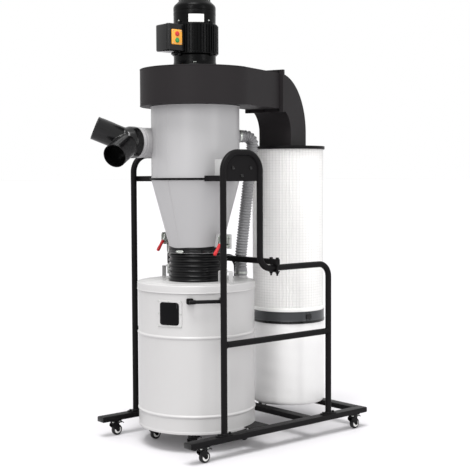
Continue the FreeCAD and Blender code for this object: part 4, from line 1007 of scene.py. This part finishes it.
def hollowed(skin, cutters):
    """Cut round bores, given as (start, way, radius, length), out of a skin."""
    solid = to_object("solid", skin)
    drills = []
    for start, way, radius, length in cutters:
        bm = bmesh.new()
        turn_into(bm, quad(0, radius, 0, length), at(start, way), 64)
        bmesh.ops.recalc_face_normals(bm, faces=bm.faces)
        drills.append(to_object("drill", bm))
        step = solid.modifiers.new("bore", "BOOLEAN")
        step.operation = "DIFFERENCE"
        step.object = drills[-1]
    return evaluated(solid, *drills)


def make_inlet():
    """Two smooth branches that run into one collar, with open bores."""
    high = corners("inlet_branches")[1]
    axis_z = middle("inlet_branches").z
    collar = 0.071
    collar_length = 0.045
    collar_bore = 0.0672
    bore = 0.050
    bore_depth = 0.045
    lip = 0.0035
    lip_room = 0.006
    voxel = 0.0021
    smoothing = 12
    mouths = [row for row in frame["record"]["mounts"] if row["name"].startswith("hose_spigot")]
    axis_y = sum(row["pos_m"][1] for row in mouths) / len(mouths)
    root = Vector((high.x - collar_length, axis_y, axis_z))
    bm = bmesh.new()
    lathe(bm, [(0, -collar_length), (collar, -collar_length), (collar, -0.004), (0.058, 0.030),
        (0, 0.052)], 0.014, 6, at(root, (-1, 0, 0)), 72)
    cutters = [(root + Vector((0.001, 0, 0)), (1, 0, 0), collar_bore, collar_length + 0.01),
        (root + Vector((-0.012, 0, 0)), (1, 0, 0), bore, collar_length)]
    faces = []
    for row in mouths:
        way = Vector(row["axis"])
        outer = row["dims"]["r_mm"] / 1000
        face = Vector(row["pos_m"]) + way * (row["dims"]["length_mm"] / 2000)
        length = (face - root).dot(way) - lip_room
        turn_into(bm, quad(0, outer, 0, length), at(face - way * (length + lip_room), way), 72)
        cutters.append((face - way * (length - bore_depth), way, bore, length))
        faces.append((face, way, outer))
    skin = hollowed(fused(bm, voxel, smoothing), cutters)
    add_piece("inlet_skin", skin, "black_plastic", sharp=50, replaces=("inlet_branches",))

    bm = bmesh.new()
    for face, way, outer in faces:
        ring = [(bore, -0.012), (outer - 0.0004, -0.012), (outer + 0.0003, -lip), (outer, 0), (bore, 0)]
        lathe(bm, ring, 0.001, 4, at(face, way), 96, closed=True)
        streaks = random.Random(3)
        for _ in range(16):
            place = at(face, way)
            side = place.to_3x3() @ polar(Vector(), 1, streaks.uniform(0, 360), 0)
            first = face - way * (0.014 + streaks.uniform(0, 0.01)) + side * (outer - 0.0009)
            last = face - way * streaks.uniform(0.06, 0.085) + side * (outer - 0.0009)
            sweep_into(bm, [first, last], [0.0013, 0.0013], 6)
    add_piece("inlet_lips", bm, "black_plastic")


# ---- Fan housing and elbow ----
ARC_LENGTH = 258


def rim_path(node, z, axis, start, inset, gap=5):
    """Outer rim of a node at one height, from a bearing once round to the far end of its arc."""
    rim = {}
    for vertex in frame["nodes"][node].data.vertices:
        offset = vertex.co - axis
        bearing = (math.degrees(math.atan2(offset.y, offset.x)) - start) % 360
        reach = math.hypot(offset.x, offset.y)
        spot = round(bearing / gap)
        if abs(vertex.co.z - z) < 0.002 and reach > rim.get(spot, (0, None))[0]:
            rim[spot] = (reach, vertex.co.copy())
    out = []
    for spot in sorted(rim):
        reach, point = rim[spot]
        flat = Vector((point.x - axis.x, point.y - axis.y, 0)).normalized()
        if spot * gap < ARC_LENGTH:
            out.append(Vector((point.x, point.y, z)) - flat * inset)
    return out


def make_housing_trim():
    """Folded lips along the round part of the scroll's rims."""
    clear_of_outlet = 30
    lip = 0.0026
    bm = bmesh.new()
    for edge, z in ((1.524, 1.5255), (1.688, 1.6865)):
        path = rim_path("fan_housing", edge, DRUM_AXIS, clear_of_outlet, 0.0012)
        sweep_into(bm, [Vector((p.x, p.y, z)) for p in path], [lip] * len(path), 8)
    add_piece("scroll_lips", bm, "housing_paint")


def make_flange_bolts():
    bearing = 19.8
    ahead, aside = facing(bearing)
    plane = 0.320
    sink = 0.006
    lateral = (-0.2725 + 0.008, -0.1025 - 0.008)
    rows = (1.516, 1.575, 1.636, 1.696)
    bm = bmesh.new()
    for z in rows:
        for offset in lateral + ((sum(lateral) / 2,) if z in (rows[0], rows[-1]) else ()):
            spot = DRUM_AXIS + ahead * (plane - sink) + aside * offset
            spot.z = z
            hex_into(bm, spot, -ahead, *FLANGE_BOLT)
    add_piece("outlet_flange_bolts", bm, "frame_paint")


# ---- Motor and switch ----
BELL_RADIUS = 0.095


def ribbed(radius, count, rib):
    """Outline of a barrel with ribs, each given as (share of its turn, drop) steps."""
    out = []
    for index in range(count):
        for share, drop in rib:
            angle = 2 * math.pi * (index + share) / count
            reach = radius - drop
            out.append(Vector((reach * math.cos(angle), reach * math.sin(angle))))
    return out


def make_motor():
    low, high = corners("motor_body")
    cowl_low, cowl_high = corners("motor_cowl")
    stator_low = 1.760
    stator_high = 1.882
    bell = BELL_RADIUS
    fin = 0.0045
    stator = 0.107
    flange = half_width("motor_body")
    base = at(DRUM_AXIS)
    bm = bmesh.new()
    seat = stator - 0.004
    overlap = 0.003
    lower = [(0, low.z), (flange, low.z), (flange, low.z + 0.012), (bell + 0.004, low.z + 0.020, 0.006),
        (bell, low.z + 0.036, 0.006), (bell, stator_low - 0.010), (seat, stator_low - 0.004),
        (seat, stator_low + overlap), (0, stator_low + overlap)]
    lathe(bm, lower, 0.002, 4, base, 96)
    upper = [(0, stator_high - overlap), (seat, stator_high - overlap), (seat, stator_high + 0.005),
        (bell, stator_high + 0.011, 0.004), (bell, high.z - 0.006), (bell - 0.004, high.z), (0, high.z)]
    lathe(bm, upper, 0.002, 4, base, 96)
    prism(bm, ribbed(stator, 46, ((0, fin), (0.42, fin), (0.52, 0), (0.88, 0))),
        [(stator_low, 0), (stator_high, 0)], base)
    lug = Vector((0.007, 0.007, 0.012))
    for bearing in (-171, -81, 9, 99):
        for z in (stator_low - 0.002, stator_high + 0.003):
            spot = polar(DRUM_AXIS, bell + 0.003, bearing, z)
            bar_into(bm, spot - lug, spot + lug, "Z", 0.004, 0.002)
    add_piece("motor_barrel", bm, "motor_paint", replaces=("motor_body",))

    overhang = 0.0035
    radius = half_width("motor_cowl") + overhang
    groove = 0.0015
    lower_by = 0.022
    bm = bmesh.new()
    skirt = cowl_low.z - lower_by
    dome = [(0, skirt), (radius, skirt), (radius, skirt + 0.012, 0.001),
        (radius - groove, skirt + 0.0135), (radius - groove, skirt + 0.0185),
        (radius, skirt + 0.020, 0.001), (radius, cowl_high.z - 0.034, 0.022),
        (radius - 0.030, cowl_high.z - 0.006, 0.030), (0.030, cowl_high.z), (0, cowl_high.z)]
    lathe(bm, dome, 0.0012, 7, base, 96)
    slots = 36
    below = Vector((0.0015, 0.0015, 0.003))
    above = Vector((0.0015, 0.0015, 0.0022))
    for ring, z in ((0.070, cowl_high.z - 0.0075), (0.052, cowl_high.z - 0.0036)):
        for index in range(slots):
            spot = polar(DRUM_AXIS, ring, 360 * index / slots, z)
            bar_into(bm, spot - below, spot + above, "Z", 0.001, 0.0006)
    add_piece("motor_cowl_dome", bm, "motor_paint", replaces=("motor_cowl",))

    bm = bmesh.new()
    for bearing in (-177, -87, 3, 93):
        dome_into(bm, polar(DRUM_AXIS, bell - 0.0005, bearing, stator_high + 0.019), facing(bearing)[0],
            0.0042, 0.003)
    for bearing in (-131, -126, 49, 54):
        dome_into(bm, polar(DRUM_AXIS, bell + 0.001, bearing, low.z + 0.028), facing(bearing)[0],
            0.0026, 0.0022)
    add_piece("motor_screws", bm, "zinc_steel")


def make_nameplate():
    """Blank plate on the motor's upper bell."""
    z = 1.907
    bearing = -124
    half_turn = 21
    half = 0.020
    section = ((-0.001, -half), (0.0008, -half), (0.0012, 0.0005 - half), (0.0012, half - 0.0005),
        (0.0008, half), (-0.001, half))
    bm = bmesh.new()
    columns = []
    for step in range(13):
        turn = bearing - half_turn + 2 * half_turn * step / 12
        columns.append([bm.verts.new(polar(DRUM_AXIS, BELL_RADIUS + out, turn, z + lift)) for out,
            lift in section])
    skin_over(bm, columns, capped=True)
    add_piece("motor_nameplate", bm, "motor_paint", material="white_ring")


def make_switch():
    low, high = corners("switch_box")
    bm = bmesh.new()
    bar_into(bm, low, (high.x + 0.003, high.y, high.z), "Y", 0.007, 0.003)
    seam = 0.0012
    bar_into(bm, (low.x - seam, low.y + 0.014, low.z - seam),
        (high.x + 0.002, low.y + 0.017, high.z + seam), "Y", 0.007, 0.0005)
    add_piece("switch_case", bm, "black_plastic", replaces=("switch_box",))
    low, high = corners("switch_plate")
    bm = bmesh.new()
    bar_into(bm, low, (high.x, high.y + 0.002, high.z), "Y", 0.004, 0.0012)
    add_piece("switch_face", bm, "switch_yellow", replaces=("switch_plate",))
    button_low, button_high = corners("switch_buttons")
    radius = (button_high.x - button_low.x) / 2
    x = (button_low.x + button_high.x) / 2
    for name, z, material in (("stop", button_high.z - radius, "switch_caps"),
            ("start", button_low.z + radius, "button_green")):
        bm = bmesh.new()
        cap = [(radius + 0.003, 0), (radius + 0.003, 0.0022), (radius + 0.0008, 0.0032),
            (radius, 0.0022), (radius, 0.0055), (0, 0.0062)]
        lathe(bm, [(0, 0)] + cap, 0.0008, 3, at((x, low.y + 0.0004, z), (0, -1, 0)), 40)
        stands_for = ("switch_buttons",) if name == "stop" else ()
        add_piece(f"{name}_button", bm, "switch_caps", material=material, replaces=stands_for)
    bm = bmesh.new()
    mid = (low + high) / 2
    reach_x = 0.022
    reach_z = 0.0275
    for sx in (-1, 1):
        for sz in (-1, 1):
            spot = (mid.x + sx * reach_x, low.y, mid.z + sz * reach_z)
            dome_into(bm, spot, (0, -1, 0), 0.0026, 0.0014)
    add_piece("switch_screws", bm, "zinc_steel")


# ---- Filter cartridge, band and dust bag ----
def make_filter():
    low, high, radius = turned("filter_cartridge")
    pleats = 132
    depth = 0.009
    under_wire = 0.0012
    outline = ribbed(radius - under_wire, pleats,
        ((0, depth), (0.32, 0.35 * depth), (0.5, 0), (0.68, 0.35 * depth)))
    bm = bmesh.new()
    prism(bm, outline, [(low.z, 0), (high.z, 0)], at(FILTER_AXIS))
    add_piece("filter_pleats", bm, "pleated_media", replaces=("filter_cartridge",), sharp=70)

    bm = bmesh.new()
    rows = 64
    sides = 96
    wire = 0.0005
    columns = 66
    for row in range(1, rows):
        z = low.z + (high.z - low.z) * row / rows
        points = [polar(FILTER_AXIS, radius, 360 * index / sides, z) for index in range(sides)]
        sweep_into(bm, points, [wire] * sides, 4, ring_closed=True)
    for column in range(columns):
        bearing = 360 * column / columns
        sweep_into(bm, [polar(FILTER_AXIS, radius, bearing, low.z),
            polar(FILTER_AXIS, radius, bearing, high.z)], [wire, wire], 4)
    add_piece("filter_wire", bm, "pleated_media", material="mesh_wire")

    bm = bmesh.new()
    band_high = corners("filter_band")[1].z
    bottom = band_high - 0.002
    top = band_high + 0.017
    lathe(bm, quad(radius - 0.004, radius + 0.004, bottom, top), 0.0025, 4, at(FILTER_AXIS), 128,
        closed=True)
    add_piece("filter_rims", bm, "pleated_media", material="rim_white")
    low, high, radius = turned("filter_plate")
    bm = bmesh.new()
    skirt = low.z - 0.009
    outline = [(0, low.z), (radius - 0.006, low.z), (radius - 0.006, skirt), (radius, skirt),
        (radius, high.z), (radius - 0.008, high.z), (radius - 0.011, high.z - 0.002),
        (0, high.z - 0.002)]
    lathe(bm, outline, 0.0015, 3, at(FILTER_AXIS), 128)
    add_piece("filter_top_plate", bm, "frame_paint", replaces=("filter_plate",))


def make_band():
    low, high, radius = turned("filter_band")
    bm = bmesh.new()
    lip = 0.0012
    outline = [(radius - 0.003, low.z), (radius, low.z), (radius, low.z + 0.004),
        (radius - lip, low.z + 0.006), (radius - lip, high.z - 0.006), (radius, high.z - 0.004),
        (radius, high.z), (radius - 0.003, high.z)]
    lathe(bm, outline, 0.001, 3, at(FILTER_AXIS), 128, closed=True)
    bearing = -100
    for offset in (-3.4, 3.4):
        spot = polar(FILTER_AXIS, radius, bearing + offset, low.z + 0.006)
        sweep_into(bm, [spot, Vector((spot.x, spot.y, high.z - 0.006))], [0.0028, 0.0028], 10)
    add_piece("band_strap", bm, "band_grey", replaces=("filter_band",))
    bm = bmesh.new()
    lathe(bm, [(radius - 0.002, low.z - 0.010), (radius + 0.0015, low.z - 0.009),
        (radius + 0.0015, low.z + 0.002), (radius - 0.002, low.z + 0.003)], 0.002, 4, at(FILTER_AXIS),
        128, closed=True)
    radial, along = facing(bearing)
    spot = polar(FILTER_AXIS, radius - 0.001, bearing, middle("filter_band").z)
    prism(bm, rectangle(0.030, 0.022, 0.004), rounded_layers(0.007, 0.002), at(spot, radial, along))
    add_piece("band_edge", bm, "black_plastic")


def make_bag():
    """Soft sack with gathers under the band, a slack belly and a squarish sagging bottom."""
    low, high, radius = turned("filter_bag")
    chance = random.Random(5)
    waves = [(chance.randint(5, 26), chance.uniform(0, 2 * math.pi), chance.uniform(0.3, 1.0))
        for _ in range(12)]
    folds = [(chance.randint(1, 4), chance.uniform(14, 34), chance.uniform(0, 6.28)) for _ in range(6)]
    neck = radius - 0.008
    belly = radius - 0.004
    gather_size = 0.0055
    crease_size = 0.0042
    slack_size = 0.0016
    sag = 0.003
    rows = 110
    sides = 176
    profile = soften([(0, low.z + 0.004), (belly - 0.060, low.z), (belly - 0.003, low.z + 0.002, 0.020),
        (belly, low.z + 0.040, 0.060), (belly - 0.003, high.z - 0.080, 0.050), (neck, high.z)], 0.02, 8)

    def folded(angle, point):
        up = (point.y - low.z) / (high.z - low.z)
        gather = max(0.0, (up - 0.80) / 0.20) ** 1.5 * (1 - max(0.0, (up - 0.975) / 0.025))
        low_crease = max(0.0, 1 - up / 0.22)
        push = sum(size * math.sin(count * angle + phase) for count, phase, size in waves) / 12
        slack = sum(math.sin(count * angle + turn + lift * up) for count, lift, turn in folds) / 6
        ripple = gather_size * gather * push + crease_size * low_crease * push
        ripple += slack_size * slack * min(1.0, (1 - up) * 8)
        edge = min(1.0, point.x / (0.5 * radius))
        drop = sag * low_crease * slack * edge
        return around(FILTER_AXIS, point.x + ripple * edge, angle, max(point.y + drop, low.z - 0.002))

    bm = bmesh.new()
    rings = [[bm.verts.new((FILTER_AXIS.x, FILTER_AXIS.y, profile[0].y))]]
    for point, _ in evenly(profile, rows)[1][1:]:
        rings.append(ring_into(bm, sides, lambda angle: folded(angle, point)))
    rings.append([bm.verts.new((FILTER_AXIS.x, FILTER_AXIS.y, high.z))])
    skin_over(bm, rings)
    add_piece("bag_shell", bm, "bag_film", replaces=("filter_bag",), sharp=80)


# ---- Toggle clamps ----
PIVOT_X = -0.1872
PIVOT_Z = 0.932


def make_clamp(side, sign):
    pivot = Vector((PIVOT_X, sign * CLAMP_SPREAD, PIVOT_Z))
    drop = math.radians(56)
    way = Vector((-math.cos(drop), 0, -math.sin(drop)))
    hub = half_width(f"clamp_handle_{side}")
    bm = bmesh.new()
    arm = 0.034
    points = [pivot + way * reach for reach in (0.0, 0.012, arm)]
    sweep_into(bm, points, [0.0062, 0.0055, 0.0050], 16)
    lathe(bm, quad(0, hub, -hub * 0.8, hub * 0.8), 0.0015, 3, at(pivot, (0, 1, 0)), 28)
    lathe(bm, quad(0, 0.0052, -0.0125, 0.0125), 0.0014, 3, at(pivot, (0, 1, 0)), 24)
    add_piece(f"toggle_arm_{side}", bm, "zinc_steel", f"handle_{side}")
    bm = bmesh.new()
    tip = 0.082
    grip = [(0, 0.024), (0.0062, 0.024), (0.0078, 0.030, 0.004), (0.0066, 0.046, 0.02),
        (0.0080, 0.066, 0.02), (0.0074, tip - 0.002, 0.005), (0.0028, tip), (0, tip)]
    lathe(bm, grip, 0.002, 5, at(pivot, way), 32)
    add_piece(f"toggle_grip_{side}", bm, "grip_red", f"handle_{side}", (f"clamp_handle_{side}",))


def make_clamp_bodies():
    """Bolts on the clamp plates, and the bead round three of their edges."""
    low, high = corners("clamp_plates")
    margin = 0.012
    inner_bolt = 0.186
    outer_bolt = 0.226
    bm = bmesh.new()
    for _, sign in SIDES:
        for y in (sign * inner_bolt, sign * outer_bolt):
            for z in (low.z + margin, high.z - margin):
                hex_into(bm, (low.x, y, z), (-1, 0, 0), *CLAMP_BOLT)
                hex_into(bm, (high.x, y, z), (1, 0, 0), *CLAMP_BOLT)
    add_piece("clamp_plate_bolts", bm, "zinc_steel")
    bm = bmesh.new()
    bead = 0.0024
    x = high.x - 0.002
    for _, sign in SIDES:
        outer = sign * 0.236
        inner = sign * 0.165
        for ends in (((outer - sign * 0.001, low.z), (inner, low.z)),
                ((outer - sign * 0.001, high.z), (inner, high.z)), ((outer, low.z), (outer, high.z))):
            sweep_into(bm, [(x, y, z) for y, z in ends], [bead, bead], 8)
    add_piece("clamp_plate_edges", bm, "bracket_paint")


def make_clamp_cheeks():
    """Pressed zinc cheeks on both sides of each handle, with a rivet through them."""
    sheet = 0.0011
    offset = 0.0128
    back = -0.1615
    bm = bmesh.new()
    for _, sign in SIDES:
        for way in (-1, 1):
            y = sign * CLAMP_SPREAD + way * offset
            bar_into(bm, (-0.2015, y - sheet, 0.905), (back, y + sheet, 0.9495), "Y", 0.011)
            bar_into(bm, (-0.1900, y - sheet, 0.893), (back, y + sheet, 0.915), "Y", 0.004)
            for x, z in ((PIVOT_X, PIVOT_Z), (-0.171, 0.902), (-0.169, 0.941)):
                dome_into(bm, (x, y + way * sheet, z), (0, way, 0), 0.0042, 0.0024)
    add_piece("clamp_cheeks", bm, "zinc_steel")


def make_bellows_lip():
    """Soft top edge of the bellows, which stands unevenly above its band."""
    top = corners("bellows")[1].z

    def uneven(angle, radius, lift, swing):
        wave = 0.0034 * math.sin(3 * angle + 0.6) + 0.0018 * math.sin(5 * angle + 2.0)
        return around(DRUM_AXIS, radius + 0.0006 * swing * math.sin(7 * angle), angle,
            top + lift + wave * swing)

    bm = bmesh.new()
    rings = [ring_into(bm, 120, lambda angle: uneven(angle, *level))
        for level in ((0.1203, -0.004, 0.0), (0.1232, -0.002, 0.0), (0.1226, 0.006, 0.6),
        (0.1217, 0.011, 1.0), (0.1203, 0.012, 1.0), (0.1199, 0.006, 0.6))]
    skin_over(bm, rings, closed=True)
    add_piece("bellows_lip", bm, "bellows_rubber", sharp=70)


def make_rod_grips():
    """Dark sleeves on the lift rods, between clamp and strap."""
    bm = bmesh.new()
    for _, sign in SIDES:
        lathe(bm, [(0.0039, 0.804), (0.0062, 0.804), (0.0066, 0.825), (0.0062, 0.850), (0.0039, 0.850)],
            0.001, 3, at((DRUM_AXIS.x, sign * CLAMP_SPREAD, 0)), 24, closed=True)
    add_piece("rod_sleeves", bm, "zinc_steel", "lid", material="rod_black")


make_camera()
make_studio()
make_base()
make_feet()
make_side_rail_welds()
make_gusset_bolts()
make_cross_bar()
for caster in CASTERS:
    make_caster(caster)
make_caster_bolts()
make_drum()
make_drum_handles()
make_window()
make_lid()
make_lid_straps()
make_bellows()
make_bellows_lip()
make_bellows_band()
make_hose()
make_cone()
make_cylinder_trim()
make_inlet()
make_housing_trim()
make_flange_bolts()
make_motor()
make_nameplate()
make_switch()
make_filter()
make_band()
make_bag()
for side_name, side_sign in SIDES:
    make_clamp(side_name, side_sign)
make_clamp_bodies()
make_clamp_cheeks()
make_rod_grips()
